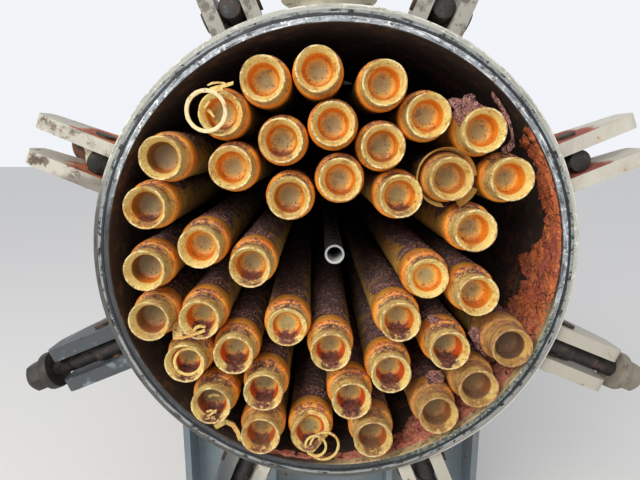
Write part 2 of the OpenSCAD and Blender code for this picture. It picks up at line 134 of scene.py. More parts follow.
class Finish:
    """A surface built up in layers. Each call adds shader nodes and gives back what they make."""

    def __init__(self, name, base, rough=0.6, metal=0.0):
        self.material = bpy.data.materials.new(name)
        self.material.use_nodes = True
        self.tree = self.material.node_tree
        self.shader = self.tree.nodes["Principled BSDF"]
        spot = self.tree.nodes.new("ShaderNodeTexCoord")
        self.place, self.facing = spot.outputs["Object"], spot.outputs["Normal"]
        self.tone = colour(base)
        self.rough, self.metal = rough, metal
        self.height = None

    def node(self, kind, inputs=(), **settings):
        made = self.tree.nodes.new("ShaderNode" + kind)
        for key, value in settings.items():
            setattr(made, key, value)
        for key, value in dict(inputs).items():
            self.feed(made.inputs[key], value)
        return made

    def feed(self, socket, value):
        if isinstance(value, bpy.types.NodeSocket):
            self.tree.links.new(value, socket)
        else:
            socket.default_value = value

    def math(self, operation, *values):
        return self.node("Math", enumerate(values), operation=operation).outputs[0]

    def split(self, vector):
        return self.node("SeparateXYZ", {0: vector}).outputs

    def attribute(self, name, output="Fac"):
        return self.node("Attribute", attribute_name=name).outputs[output]

    def vector(self, *parts):
        return self.node("CombineXYZ", enumerate(parts)).outputs[0]

    def length(self, vector):
        return self.node("VectorMath", {0: vector}, operation="LENGTH").outputs["Value"]

    def plus(self, value, other, times):
        """A value plus some times another."""
        return self.math("ADD", value, self.math("MULTIPLY", other, times))

    def noise(self, scale, detail=6, rough=0.6, at=None):
        inputs = {"Vector": at or self.place, "Scale": scale, "Detail": detail, "Roughness": rough}
        return self.node("TexNoise", inputs).outputs[0]

    def share(self, value, low, high):
        """0 below low and 1 above high, or the other way round where low is the larger."""
        inputs = {"Value": value, "From Min": min(low, high), "From Max": max(low, high),
                  "To Min": 0.0 if low < high else 1.0, "To Max": 1.0 if low < high else 0.0}
        return self.node("MapRange", inputs, interpolation_type="SMOOTHSTEP").outputs[0]

    def band(self, value, middle, low, high):
        """A share by how far a value is from a middle."""
        return self.share(self.math("ABSOLUTE", self.math("SUBTRACT", value, middle)), low, high)

    def patches(self, scale, low, high, detail=8, rough=0.65, at=None):
        return self.share(self.noise(scale, detail, rough, at), low, high)

    def both(self, *shares):
        """Shares multiplied together. A tuple among them holds the numbers of a call of patches."""
        total, *others = [self.patches(*each) if isinstance(each, tuple) else each for each in shares]
        for other in others:
            total = self.math("MULTIPLY", total, other)
        return total

    def from_axis(self):
        """Distance from the vessel's axis."""
        spot = self.split(self.place)
        return self.length(self.vector(spot[0], 0, self.math("SUBTRACT", spot[2], axis_z)))

    def region(self, **ranges):
        """1 beyond the last end of each range, with y from the ring face and z from the axis."""
        spots = dict(zip("xyz", self.split(self.place)))
        starts = {"x": 0, "y": face_y, "z": axis_z}
        return self.both(*[self.share(spots[way], starts[way] + low, starts[way] + high)
                           for way, (low, high) in ranges.items()])

    def mix(self, share, below, above):
        if isinstance(below, (int, float)) or getattr(below, "type", "") == "VALUE":
            return self.node("Mix", {0: share, 2: below, 3: above}).outputs[0]
        return self.node("Mix", {0: share, 6: below, 7: above}, data_type="RGBA").outputs[2]

    def layer(self, screen, *shares, rough=None, metal=None):
        """Lays a colour over what is there, with its own roughness and metal, where all shares meet."""
        share = self.both(*shares)
        above = colour(screen) if isinstance(screen, str) else screen
        self.tone = self.mix(share, self.tone, above)
        if rough is not None:
            self.rough = self.mix(share, self.rough, rough)
        if metal is not None:
            self.metal = self.mix(share, self.metal, metal)

    def relief(self, height, depth):
        """Adds a height field that stands depth metres high where it is 1."""
        scaled = self.math("MULTIPLY", height, depth)
        self.height = scaled if self.height is None else self.math("ADD", self.height, scaled)

    def done(self):
        for name, value in (("Base Color", self.tone), ("Roughness", self.rough), ("Metallic", self.metal)):
            self.feed(self.shader.inputs[name], value)
        if self.height is not None:
            bump = self.node("Bump", {"Height": self.height, "Distance": 1.0, "Strength": 1.0})
            self.feed(self.shader.inputs["Normal"], bump.outputs[0])
        return self.material


def dress(material, *nodes):
    """Gives CAD nodes a material in place of their plain one."""
    for name in nodes:
        piece = frame["nodes"][name]
        if not piece.material_slots:
            piece.data.materials.append(material)
        for held in piece.material_slots:
            held.material = material


def weathered_paint(name, base, shade, streaks=0.5, chips=0.64):
    """Old paint on steel: uneven tone, dirt that has run down, and chips with rust in them."""
    paint = Finish(name, base, rough=0.55)
    paint.layer(shade, (2.2, 0.35, 0.7))
    drawn_down = paint.node("Mapping", {"Vector": paint.place, "Scale": (14, 14, 1.3)}).outputs[0]
    runs = paint.patches(1, 0.5, 0.75, at=drawn_down)
    paint.layer("#8a8373", runs, streaks)
    chip = paint.patches(26, chips, chips + 0.03, detail=12, rough=0.7)
    halo = paint.patches(26, chips - 0.1, chips + 0.01, detail=12, rough=0.7)
    paint.layer("#b58a5e", halo, 0.4)
    paint.layer("#6b3a22", chip, rough=0.9)
    paint.layer("#f0ece0", (160, 0.6, 0.7), 0.2)
    paint.relief(chip, -0.0006)
    paint.relief(paint.noise(90, 4), 0.0005)
    return paint


wall_t = 0.019
head_skirt = 0.040
shell_out = (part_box("front_sides")[1].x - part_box("front_sides")[0].x) / 2
shell_in = shell_out - wall_t
shell = weathered_paint("shell_paint", "#cfc9b4", "#bdb6a0")
# Beyond its skirt the head is half as deep as it is wide, so its depth counts double.
head_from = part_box("rear_head")[0].y
past_skirt = shell.math("SUBTRACT", shell.split(shell.place)[1], head_from + head_skirt)
depth = shell.math("MULTIPLY", shell.math("MAXIMUM", 0.0, past_skirt), 2)
hollow_r = shell.length(shell.vector(shell.from_axis(), depth))
inside = shell.share(hollow_r, shell_in + 0.006, shell_in + 0.002)
# Inside, the wall is painted dark brown to near black, partly dark rust and partly painted shade.
shell.layer("#3a241c", inside, rough=0.95)
shell.layer("#74412a", inside, (7, 0.46, 0.64))
shell.layer("#1d1716", inside, (60, 0.48, 0.58))
shell.layer("#7c5a4c", inside, (150, 0.58, 0.63))
shell.relief(shell.both(inside, shell.noise(130, 8, 0.75)), 0.004)
dress(shell.done(), "front_crown", "front_belly", "front_sides", "rear_crown", "rear_belly",
      "rear_sides", "rear_head")

# Tube sheet
# A thick plate across the shell with a short riser pipe at each socket, all brown with rust.
sheet = Finish("sheet_rust", "#3f261c", rough=0.92)
sheet.layer("#744026", (9, 0.45, 0.65))
sheet.layer("#1d1411", (30, 0.58, 0.66))
sheet.relief(sheet.noise(60, 8), 0.002)
dress(sheet.done(), "tube_sheet")

# Centre rod
# A bare galvanized pipe on the axis, with dark spots and a bright cut end.
rod_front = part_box("centre_rod")[0].y
rod = Finish("rod_zinc", "#8d8f8e", rough=0.38, metal=0.9)
rod.layer("#33302d", (45, 0.5, 0.6), rough=0.7, metal=0.3)
behind = rod.math("SUBTRACT", rod.split(rod.place)[1], rod_front)
rod.layer("#b9bab6", rod.share(behind, 0.010, 0.002), rough=0.3, metal=0.9)
# The lower inside of the bore, near its end, is painted near white.
near_axis = rod.share(rod.from_axis(), 0.0212, 0.0206)
pale_lower_bore = rod.both(near_axis, rod.region(z=(0.004, -0.014)), rod.share(behind, 0.12, 0.05))
rod.layer("#e6e8e6", pale_lower_bore, rough=0.4, metal=0.1)
rod.layer("#dfe2e4", (260, 0.60, 0.64, 3), 0.8, rough=0.3)
rod.relief(rod.noise(120, 4), 0.0005)
dress(rod.done(), "centre_rod")


# Filter bodies
# Wound yarn on a core, 41 of them, pushed onto the risers. The winding leaves a spiral of ridges,
# and the gas has left a purple-brown crust on it, thickest on top.
def select_only(piece):
    bpy.ops.object.select_all(action="DESELECT")
    piece.select_set(True)
    bpy.context.view_layer.objects.active = piece


def added(primitive, location=(0, 0, 0), **settings):
    """One of Blender's simple meshes, with its placing set into its points."""
    bpy.ops.object.select_all(action="DESELECT")
    primitive(location=location, **settings)
    bpy.ops.object.transform_apply()
    return bpy.context.object


def modified(piece, kind, **settings):
    """Adds a modifier with its settings to a piece and applies it."""
    modifier = piece.modifiers.new(kind, kind)
    for key, value in settings.items():
        setattr(modifier, key, value)
    select_only(piece)
    bpy.ops.object.modifier_apply(modifier=modifier.name)


def edited(piece, **steps):
    """Runs mesh editing steps, each with its settings, on all of a piece."""
    select_only(piece)
    bpy.ops.object.mode_set(mode="EDIT")
    for step, settings in steps.items():
        bpy.ops.mesh.select_all(action="SELECT")
        getattr(bpy.ops.mesh, step)(**settings)
    bpy.ops.object.mode_set(mode="OBJECT")


def copied(piece, name):
    twin = piece.copy()
    twin.data = piece.data.copy()
    twin.name = twin.data.name = name
    bpy.context.collection.objects.link(twin)
    return twin


def joined(pieces, name):
    bpy.ops.object.select_all(action="DESELECT")
    for piece in pieces:
        piece.select_set(True)
    bpy.context.view_layer.objects.active = pieces[0]
    bpy.ops.object.join()
    pieces[0].name = pieces[0].data.name = name
    return pieces[0]


def finished(piece, material, body="vessel", angle=40):
    """Smooths a piece, gives it its one material, and lets it ride on a body."""
    piece.data.materials.clear()
    piece.data.materials.append(material)
    select_only(piece)
    bpy.ops.object.shade_smooth_by_angle(angle=math.radians(angle))
    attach(piece, body)


def drawn(name, points, closed=False):
    """A line of edges, drawn by extruding one vertex from point to point."""
    line = added(bpy.ops.mesh.primitive_plane_add, size=0.01)
    line.name = name
    bpy.ops.object.mode_set(mode="EDIT")
    bpy.ops.mesh.select_all(action="SELECT")
    bpy.ops.mesh.merge(type="CENTER")
    bpy.ops.transform.translate(value=points[0])
    for last, now in zip(points, points[1:]):
        step = Vector(now) - Vector(last)
        bpy.ops.mesh.extrude_vertices_move(TRANSFORM_OT_translate={"value": step})
    bpy.ops.object.mode_set(mode="OBJECT")
    if closed:
        for vertex in line.data.vertices:
            vertex.select = vertex.index in (0, len(points) - 1)
        bpy.ops.object.mode_set(mode="EDIT")
        bpy.ops.mesh.edge_face_add()
        bpy.ops.object.mode_set(mode="OBJECT")
    return line


def turned(name, outline, sides, arc=360, rise=0, turns=1, closed=False):
    """An outline of (radius, height) points turned about the Z axis, as on a lathe."""
    part = drawn(name, [(r, 0, h) for r, h in outline], closed)
    modified(part, "SCREW", angle=math.radians(arc), screw_offset=rise, iterations=turns, steps=sides,
             render_steps=sides, use_merge_vertices=True, merge_threshold=1e-5)
    edited(part, remove_doubles={"threshold": 1e-5}, fill_holes={"sides": 0},
           normals_make_consistent={"inside": False})
    return part


def roughen(piece, size, depth):
    """Pushes a surface in and out by a cloud pattern in the shared frame."""
    clouds = bpy.data.textures.new("clouds", "CLOUDS")
    clouds.noise_scale = size
    clouds.noise_depth = 3
    modified(piece, "DISPLACE", texture=clouds, texture_coords="LOCAL", strength=depth, mid_level=0.5)


def filter_axes(node):
    """The front and back end of each filter in a row, counted round from the right and upwards."""
    copy = copied(frame["nodes"][node], "axes")
    copy.parent = None
    edited(copy, remove_doubles={"threshold": 1e-5}, separate={"type": "LOOSE"})
    ends = []
    for body in list(bpy.context.selected_objects):
        points = [v.co.copy() for v in body.data.vertices]
        middle = sum(p.y for p in points) / len(points)
        halves = [[p for p in points if (p.y < middle) == front] for front in (True, False)]
        ends.append([sum(half, Vector()) / len(half) for half in halves])
        bpy.data.objects.remove(body)
    return sorted(ends, key=lambda pair: math.atan2(pair[0].z - axis_z, pair[0].x) % (2 * math.pi))


def placed(front, way, turn=0):
    """The placing of a part drawn with its mouth towards +Z, so that it faces along way."""
    facing = way.to_track_quat("Z", "Y").to_matrix().to_4x4()
    return Matrix.Translation(front) @ facing @ Matrix.Rotation(turn, 4, "Z")


def keep_own_place(piece):
    """Stores each point's place in the part's own frame, for finishes that follow the part."""
    store = piece.data.attributes.new("own_place", "FLOAT_VECTOR", "POINT")
    store.data.foreach_set("vector", [c for vertex in piece.data.vertices for c in vertex.co])


def keep_value(piece, name, value):
    store = piece.data.attributes.get(name) or piece.data.attributes.new(name, "FLOAT", "POINT")
    store.data.foreach_set("value", [value] * len(piece.data.vertices))


body_r = 0.054
ridge_pitch = 0.024
ridge_rise = 0.0018
ridge_count = 24
rows = ("outer", "middle", "inner")
axes = {row: filter_axes(f"{row}_cartridges") for row in rows}

# One ridge, wound down the body
ridge = [(body_r - ridge_rise, 0), (body_r - ridge_rise * 0.2, -0.2 * ridge_pitch),
         (body_r, -0.5 * ridge_pitch), (body_r - ridge_rise * 0.2, -0.8 * ridge_pitch),
         (body_r - ridge_rise, -ridge_pitch)]
winding = turned("winding", ridge, 36, rise=-ridge_pitch, turns=ridge_count)
wound_len = ridge_count * ridge_pitch

yarn = Finish("crusted_yarn", "#8f7238", rough=0.9)
own = yarn.split(yarn.attribute("own_place", "Vector"))
upward = yarn.split(yarn.facing)[2]
new_yarn = yarn.mix(yarn.region(x=(-0.05, 0.20)), colour("#a68436"), colour("#d08f30"))
yarn.layer(new_yarn, (9, 0.40, 0.60))
round_turn = yarn.math("DIVIDE", yarn.math("ARCTAN2", own[1], own[0]), 2 * math.pi)
turns_down = yarn.math("DIVIDE", own[2], ridge_pitch)
ridge_phase = yarn.math("FRACT", yarn.math("SUBTRACT", turns_down, round_turn))
# The grooves between the ridges are painted darker, as painted shade.
groove_shade = yarn.band(ridge_phase, 0.5, 0.30, 0.48)
yarn.layer("#463018", groove_shade, 0.7)
front_glow = yarn.share(own[2], -0.20, -0.05)
yarn.layer("#dba445", front_glow, (16, 0.40, 0.6), 0.6)
crust = yarn.share(yarn.plus(yarn.noise(26, 10, 0.7), upward, 0.24), 0.57, 0.67)
# Deeper into the vessel the bodies are painted darker: more crust, and painted shade where light does not reach.
deep_crust_and_shade = yarn.share(own[2], -0.20, -0.80)
front_near = yarn.share(own[2], -0.40, -0.12)
yarn.layer("#64494a", yarn.math("MAXIMUM", crust, yarn.both(deep_crust_and_shade, 0.85)), rough=0.95)
yarn.layer("#35262a", (35, 0.48, 0.62), yarn.math("MAXIMUM", deep_crust_and_shade, yarn.both(crust, 0.6)))
yarn.layer("#a98478", (90, 0.53, 0.62), crust)
yarn.layer("#1d1214", (330, 0.55, 0.60, 3), yarn.math("MAXIMUM", crust, 0.35))
yarn.layer("#b0857c", (290, 0.60, 0.65, 3), crust, front_near)
yarn.relief(yarn.noise(70, 10, 0.7), 0.005)
crusted_yarn = yarn.done()

for row in rows:
    bodies = []
    for front, back in axes[row]:
        tail_len = (front - back).length - wound_len
        tail = added(bpy.ops.mesh.primitive_cylinder_add, (0, 0, -wound_len - (tail_len - ridge_pitch) / 2),
                     vertices=36, radius=body_r - ridge_rise / 2, depth=tail_len + ridge_pitch)
        body = joined([copied(winding, "body"), tail], "body")
        keep_own_place(body)
        body.data.transform(placed(front, (front - back).normalized()))
        bodies.append(body)
    group = joined(bodies, f"{row}_filter_bodies")
    roughen(group, 0.03, 0.003)
    finished(group, crusted_yarn, angle=50)
    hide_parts(f"{row}_cartridges")
bpy.data.objects.remove(winding)

# End caps
# Moulded plastic, amber when new: a sleeve over the filter body, a shoulder, and a hollow neck whose
# mouth narrows like a funnel to a deep hole. They are stained with rust, most in the holes' bottoms.
collar_r = 0.056
sleeve_len = 0.045
neck_r = 0.046
neck_len = 0.0545
necks = {"whole": neck_len, "short": 0.032, "torn": 0.046, "split": 0.046}
throat_r = 0.0327
bottom_r = 0.0292
cap_floor = 0.008


def cap_outline(neck):
    """A cap's outline from the back of its floor to its middle, for a neck of some length."""
    shoulder = [
        (0, -cap_floor), (body_r + 0.0004, -cap_floor), (body_r + 0.0004, -sleeve_len),
        (collar_r - 0.001, -sleeve_len), (collar_r, -sleeve_len + 0.002), (collar_r, -0.030),
        (collar_r, -0.015), (collar_r - 0.0005, -0.006), (collar_r - 0.003, -0.001),
        (collar_r - 0.007, 0.0015), (neck_r + 0.003, 0.003), (neck_r + 0.002, 0.006),
        (neck_r, 0.009)]
    outside = [(neck_r + 0.0006 * up, 0.010 + up * (neck - 0.020)) for up in (0.33, 0.67, 1)]
    grooves = [(neck_r + aside, neck - back) for aside, back in (
        (0.0006, 0.0092), (-0.0004, 0.0086), (-0.0004, 0.0078), (0.0007, 0.0072),
        (0.0007, 0.0052), (-0.0003, 0.0046), (-0.0003, 0.0038), (0.0007, 0.0032))]
    if neck < neck_len:
        outside, grooves = [(neck_r, neck * 0.8)], []
    lip = [(neck_r + 0.0006, neck - 0.0012), (neck_r, neck - 0.0003), (neck_r - 0.0010, neck),
           (neck_r - 0.0022, neck - 0.0006)]
    throat = neck * 0.615
    mouth = neck - throat
    funnel = [(neck_r - 0.0040, neck - mouth * 0.14), (neck_r - 0.0072, neck - mouth * 0.42),
              (throat_r + 0.0020, neck - mouth * 0.80), (throat_r, throat)]
    foot = min(0.011, throat - 0.001)
    hole = [(throat_r - 0.0007, throat - (throat - foot) * 0.12),
            (throat_r - 0.0014, throat - (throat - foot) * 0.5), (throat_r - 0.0024, foot)]
    floor_line = [(bottom_r, 0.0068), (0.0255, 0.0042), (0.0190, 0.0028), (0.0090, 0.0022), (0, 0.002)]
    return shoulder + outside + grooves + lip + funnel + hole + floor_line


def torn_lip(cap, above, deepest):
    """Pulls the lip of a cap down by uneven amounts, as where its neck has broken off."""
    for vertex in cap.data.vertices:
        if vertex.co.z > above:
            turn = math.atan2(vertex.co.y, vertex.co.x)
            bite = math.sin(3 * turn + 1) + 0.7 * math.sin(7 * turn) + 0.5 * math.sin(13 * turn + 2)
            vertex.co.z -= deepest * (0.5 + bite / 4.4) * (vertex.co.z - above) / (neck_len - above)


cap_models = {state: turned(f"{state}_cap", cap_outline(neck), 48) for state, neck in necks.items()}
torn_lip(cap_models["torn"], 0.026, 0.012)
# One neck has split away down its right side and is whole on its left.
for vertex in cap_models["split"].data.vertices:
    if vertex.co.z > 0.008:
        lost = min(1, max(0, 0.5 + (vertex.co.x + 0.5 * vertex.co.y) / 0.030))
        vertex.co.z -= lost * (vertex.co.z - 0.008) * 0.9

# Which caps differ, by their place in the row
cap_states = {
    "outer": {6: "torn", 14: "split"},
    "middle": {},
    "inner": {4: "short", 7: "short"},
}
# How far the plastic has gone dull and brown
cap_ages = {
    "outer": {18: 1.0, 17: 0.75, 16: 0.65, 15: 0.35, 13: 0.2, 10: 0.2, 7: 0.15},
    "middle": {1: 0.3},
    "inner": {},
}
# How much painted shade lies in a cap's hole
cap_hole_shades = {
    "outer": {1: 0.1, 7: 0.85, 8: 0.65, 9: 0.9, 10: 0.8, 12: 0.75, 14: 0.2, 15: 0.5},
    "middle": {2: 0.2, 9: 0.2, 12: 0.4},
    "inner": {2: 0.3, 3: 0.2},
}

amber = Finish("amber_plastic", "#e2c674", rough=0.5)
own = amber.split(amber.attribute("own_place", "Vector"))
seed, age, hole_shade = [amber.attribute(name) for name in ("own_seed", "own_age", "own_gloom")]
radius = amber.length(amber.vector(own[0], own[1]))
height = own[2]
upward = amber.split(amber.facing)[2]
low_down = amber.region(z=(-0.05, -0.25))
speckled = amber.noise(60, 12, 0.75)
outside = amber.share(radius, neck_r - 0.0045, neck_r - 0.0020)
amber.layer("#f1e09c", (80, 0.50, 0.64))
amber.layer("#c08c3a", (40, 0.50, 0.62, 10, 0.75))
amber.layer("#e0963c", (18, 0.48, 0.66), amber.share(seed, 0.3, 0.9), 0.8)
rim = amber.share(height, neck_len - 0.0026, neck_len - 0.0010)
amber.layer("#f6e6ae", rim, (55, 0.42, 0.54), 0.8)
amber.layer("#a8745c", outside, (26, 0.54, 0.64, 10, 0.7), 0.7, rough=0.8)
round_neck = amber.vector(own[0], own[1], amber.math("MULTIPLY", height, 5))
streaks, thin_streaks = amber.noise(38, 10, 0.72, at=round_neck), amber.noise(95, 8, 0.72, at=round_neck)
amber.layer("#96673f", outside, amber.share(streaks, 0.52, 0.62), 0.75, rough=0.8)
amber.layer("#5c3a28", outside, amber.share(thin_streaks, 0.58, 0.64), 0.8, rough=0.85)
rim_edge = amber.share(radius, neck_r - 0.0026, neck_r - 0.0012)
amber.layer("#9c7232", rim_edge, rim, (70, 0.46, 0.56), 0.8)
# The two grooves round the neck are painted darker, as painted shade.
for back in (0.0042, 0.0082):
    shaded_groove_line = amber.band(height, neck_len - back, 0.0011, 0.0004)
    amber.layer("#7d5c2c", shaded_groove_line, outside, 0.8)
collar = amber.share(amber.plus(height, speckled, 0.01), 0.014, 0.004)
amber.layer("#ef9d34", collar, outside, 0.95)
amber.layer("#dd6c1e", collar, outside, (24, 0.48, 0.62), 0.85)
collar_edge = amber.both(amber.share(height, -0.009, -0.003),
                         amber.share(radius, collar_r - 0.0055, collar_r - 0.0025))
amber.layer("#f99a2c", collar_edge, (30, 0.38, 0.52))
amber.layer("#b98a3e", amber.share(height, -0.012, -0.030), outside, 0.8)
# The hole's wall and floor are painted bright orange and golden: the plastic's own amber, and painted light that
# shines through the thin plastic.
hole = amber.share(radius, throat_r + 0.0022, throat_r + 0.0004)
amber.layer(amber.mix(low_down, colour("#ea8a1e"), colour("#d2501a")), hole)
amber.layer("#b4521a", hole, (28, 0.52, 0.70), 0.7)
bottom = amber.share(radius, bottom_r, 0.0240)
amber.layer("#e0a63a", hole, bottom)
amber.layer("#a3905a", hole, amber.share(amber.plus(radius, speckled, 0.012), 0.0310, 0.0170))
amber.layer("#7a6544", hole, bottom, (60, 0.52, 0.66), 0.8)
# One side of the hole and its floor are painted darker, as painted shade.
amber.layer("#54401f", hole_shade, hole, amber.share(amber.plus(own[0], own[1], -0.6), 0.030, -0.020))
amber.layer("#7d6c4a", hole_shade, hole, bottom, 0.7)
foot = amber.both(amber.share(height, neck_len - 0.012, 0.014), amber.share(height, -0.012, -0.004))
lay = amber.plus(speckled, upward, 0.22)
on_top, dark_top = amber.share(lay, 0.57, 0.67), amber.share(lay, 0.66, 0.75)
granular = amber.patches(130, 0.40, 0.52)
amber.layer("#a56e58", on_top, outside, foot, granular, rough=0.85)
amber.layer("#70463f", dark_top, outside, foot, granular, rough=0.9)
amber.layer("#3d2422", dark_top, outside, foot, (90, 0.55, 0.62), rough=0.9)
amber.layer("#2c1a18", on_top, outside, foot, (330, 0.57, 0.62, 3), rough=0.9)
sunk = amber.plus(own[1], amber.noise(70, 10, 0.7), -0.045)
dirty = amber.share(amber.plus(low_down, seed, 0.8), 0.35, 1.0)
amber.layer("#a3481e", hole, amber.share(sunk, -0.036, -0.047), amber.plus(0.25, dirty, 0.6))
residue = amber.both(hole, amber.share(sunk, -0.042, -0.050), dirty)
amber.layer("#2c1512", residue, rough=0.7)
amber.layer("#8f5240", residue, (150, 0.59, 0.65), rough=0.85)
amber.layer("#190c0a", residue, (210, 0.55, 0.60))
inside_lip = amber.share(radius, neck_r - 0.0015, neck_r - 0.0050)
mid_bottom = amber.band(own[0], 0, 0.032, 0.014)
settled = amber.both(inside_lip, mid_bottom, amber.share(sunk, -0.045, -0.053), dirty)
amber.layer("#754235", settled, (100, 0.36, 0.50), rough=0.85)
amber.layer("#42231d", settled, (80, 0.50, 0.58), rough=0.85)
amber.layer("#5f3f1c", (420, 0.63, 0.67, 2, 0.6), 0.9)
amber.layer("#8d6230", (120, 0.60, 0.66, 10, 0.8), 0.7, rough=0.75)
amber.layer("#5a3a1c", (190, 0.60, 0.64, 3, 0.6), (30, 0.42, 0.56, 3, 0.6), 0.85)
amber.layer("#bd9148", age, 0.7, rough=0.8)
amber.layer("#46302a", age, hole, 0.85)
amber.layer("#935e4c", age, outside, amber.share(streaks, 0.46, 0.56), 0.8, rough=0.85)
amber.layer("#6f4a32", age, (45, 0.50, 0.62), 0.7)
# The rim that hangs in the open is painted paler.
paler_hanging_rim = amber.share(seed, 1.2, 1.4)
amber.layer("#e3d3a6", paler_hanging_rim, 0.75)
amber.layer("#a8744c", paler_hanging_rim, (45, 0.54, 0.62), 0.8)
amber.relief(amber.noise(150, 8, 0.65), 0.0012)
amber_plastic = amber.done()

for row in rows:
    caps = []
    for count, (front, back) in enumerate(axes[row]):
        cap = copied(cap_models[cap_states[row].get(count, "whole")], "cap")
        way = (front - back).normalized()
        keep_own_place(cap)
        # Each cap passes over one draw and keeps the next as its shade.
        random.random()
        for name, value in (("own_seed", random.random()), ("own_age", cap_ages[row].get(count, 0.0)),
                            ("own_gloom", cap_hole_shades[row].get(count, 0.0))):
            keep_value(cap, name, value)
        cap.data.transform(placed(front + way * cap_floor, way))
        caps.append(cap)
    group = joined(caps, f"{row}_end_caps")
    roughen(group, 0.012, 0.0016)
    finished(group, amber_plastic)
    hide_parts(f"{row}_caps")
for model in cap_models.values():
    bpy.data.objects.remove(model)


# Broken cap parts
# Rims and strips that have come off the worst caps. They hang or lie where they broke, and are
# placed where the photograph shows them, at a depth behind the ring face.
photo_wide = 640
photo_high = 480


def seen_at(pixel, behind):
    """The point that shows at a pixel of the photograph, on a plane behind the ring face."""
    reach = photo_wide * lens / film_wide
    ray = Vector((pixel[0] - photo_wide / 2, photo_high / 2 - pixel[1], -reach))
    ray.rotate(Euler((math.radians(90 - look_down), 0, 0)))
    return eye + ray * ((face_y + behind - eye.y) / ray.y)


def plastic_part(piece, seed, age):
    """Gives a loose part the values that the amber plastic reads, as on a neck's outside."""
    store = piece.data.attributes.new("own_place", "FLOAT_VECTOR", "POINT")
    store.data.foreach_set("vector", [neck_r, 0, neck_len * 0.7] * len(piece.data.vertices))
    keep_value(piece, "own_seed", seed)
    keep_value(piece, "own_age", age)
    return piece


def broken_rim(pixel, behind, r, width, arc=360, lean=(0, 0), turn=0, depth=0.006):
    """A rim, or a part of one, that faces the mouth and leans aside and back. Its shade is drawn."""
    outline = [(r - width, 0.0005), (r - width * 0.5, 0), (r, 0.0012), (r, depth - 0.001),
               (r - width * 0.6, depth), (r - width, depth - 0.0014)]
    rim = turned("rim", outline, max(8, round(arc / 6)), arc=arc, closed=True)
    facing = Vector((lean[0], -1, lean[1])).normalized()
    rim.data.transform(placed(seen_at(pixel, behind), facing, math.radians(turn)))
    return plastic_part(rim, random.random(), 0.15)


def flake(pixels, behind, thick=0.0025, lean=0):
    """A thin torn piece with an outline seen in the photograph. Lean tips its top away."""
    corners = [seen_at(pixel, behind) for pixel in pixels]
    middle = sum((corner.z for corner in corners)) / len(corners)
    for corner in corners:
        corner.y += lean * (corner.z - middle)
    piece = drawn("flake", corners, closed=True)
    edited(piece, edge_face_add={}, quads_convert_to_tris={}, subdivide={"number_cuts": 3})
    modified(piece, "SOLIDIFY", thickness=thick, offset=0)
    return piece


def ribbon(pixels, wide):
    """The outline of a strip along a line of pixels, from wide at its start to narrower at its end."""
    left, right = [], []
    for count, pixel in enumerate(pixels):
        before, after = Vector(pixels[max(count - 1, 0)]), Vector(pixels[min(count + 1, len(pixels) - 1)])
        along = (after - before).normalized()
        half = Vector((-along.y, along.x)) * wide / 2 * (1 - 0.4 * count / len(pixels))
        left.append(Vector(pixel) + half)
        right.append(Vector(pixel) - half)
    return left + right[::-1]


# Where the middles of the loose rims and of the long strip's circle show
hanging_at, low_at, low_right_at, tilted_at = (206.4, 111), (315.8, 445.3), (324.2, 445.2), (188.6, 361.0)
long_strip_at = (190, 292)
hanging_rim = broken_rim(hanging_at, -0.0225, 0.0452, 0.0080, lean=(-0.06, 0.03))
broken_parts = [
    hanging_rim,
    broken_rim(low_at, -0.012, 0.0275, 0.0055, lean=(-0.1, 0.15)),
    broken_rim(low_right_at, -0.004, 0.0375, 0.0055, lean=(0.12, 0.08)),
    broken_rim(tilted_at, -0.016, 0.0345, 0.0065, lean=(0.12, 0.10)),
    broken_rim(long_strip_at, 0.008, 0.100, 0.004, arc=38, lean=(0.1, 0.1), turn=-108)]
keep_value(hanging_rim, "own_seed", 1.5)
split_front, split_back = axes["middle"][1]
split_way = (split_front - split_back).normalized()
collar_outline = [(0.0562, -0.034), (0.0600, -0.033), (0.0655, -0.006), (0.0668, 0.006), (0.0650, 0.013),
                  (0.0632, 0.006), (0.0610, -0.008)]
shard_outline = [(0.0555, -0.006), (0.0690, -0.003), (0.0715, 0.012), (0.0700, 0.020), (0.0672, 0.012),
                 (0.0600, 0.000)]
split_collar = turned("split", collar_outline, 44, arc=262, closed=True)
split_shard = turned("shard", shard_outline, 10, arc=44, closed=True)
for part, turn in ((split_collar, 4), (split_shard, -64)):
    part.data.transform(placed(split_front + split_way * cap_floor, split_way, math.radians(turn)))
    broken_parts.append(plastic_part(part, 0.9, 0.15))

# Outlines of the torn pieces as they show: two by the hanging rim and one by the split cap
top_strip = [(207.1, 84.8), (211, 82.3), (218, 81.4), (225, 82.3), (225.3, 84.2), (218, 83.5),
             (212.2, 84.4), (207.8, 86.1)]
forked_strip = [(209.7, 88), (219.9, 84.8), (232.7, 81), (232.7, 84.2), (227.6, 86.7), (222.4, 88),
                (224.4, 94.4), (221.2, 95.7), (218, 90.6), (212.2, 91.2)]
upright_chip = [(171.5, 326), (176, 323), (181.5, 326), (183.5, 336), (174.5, 338)]
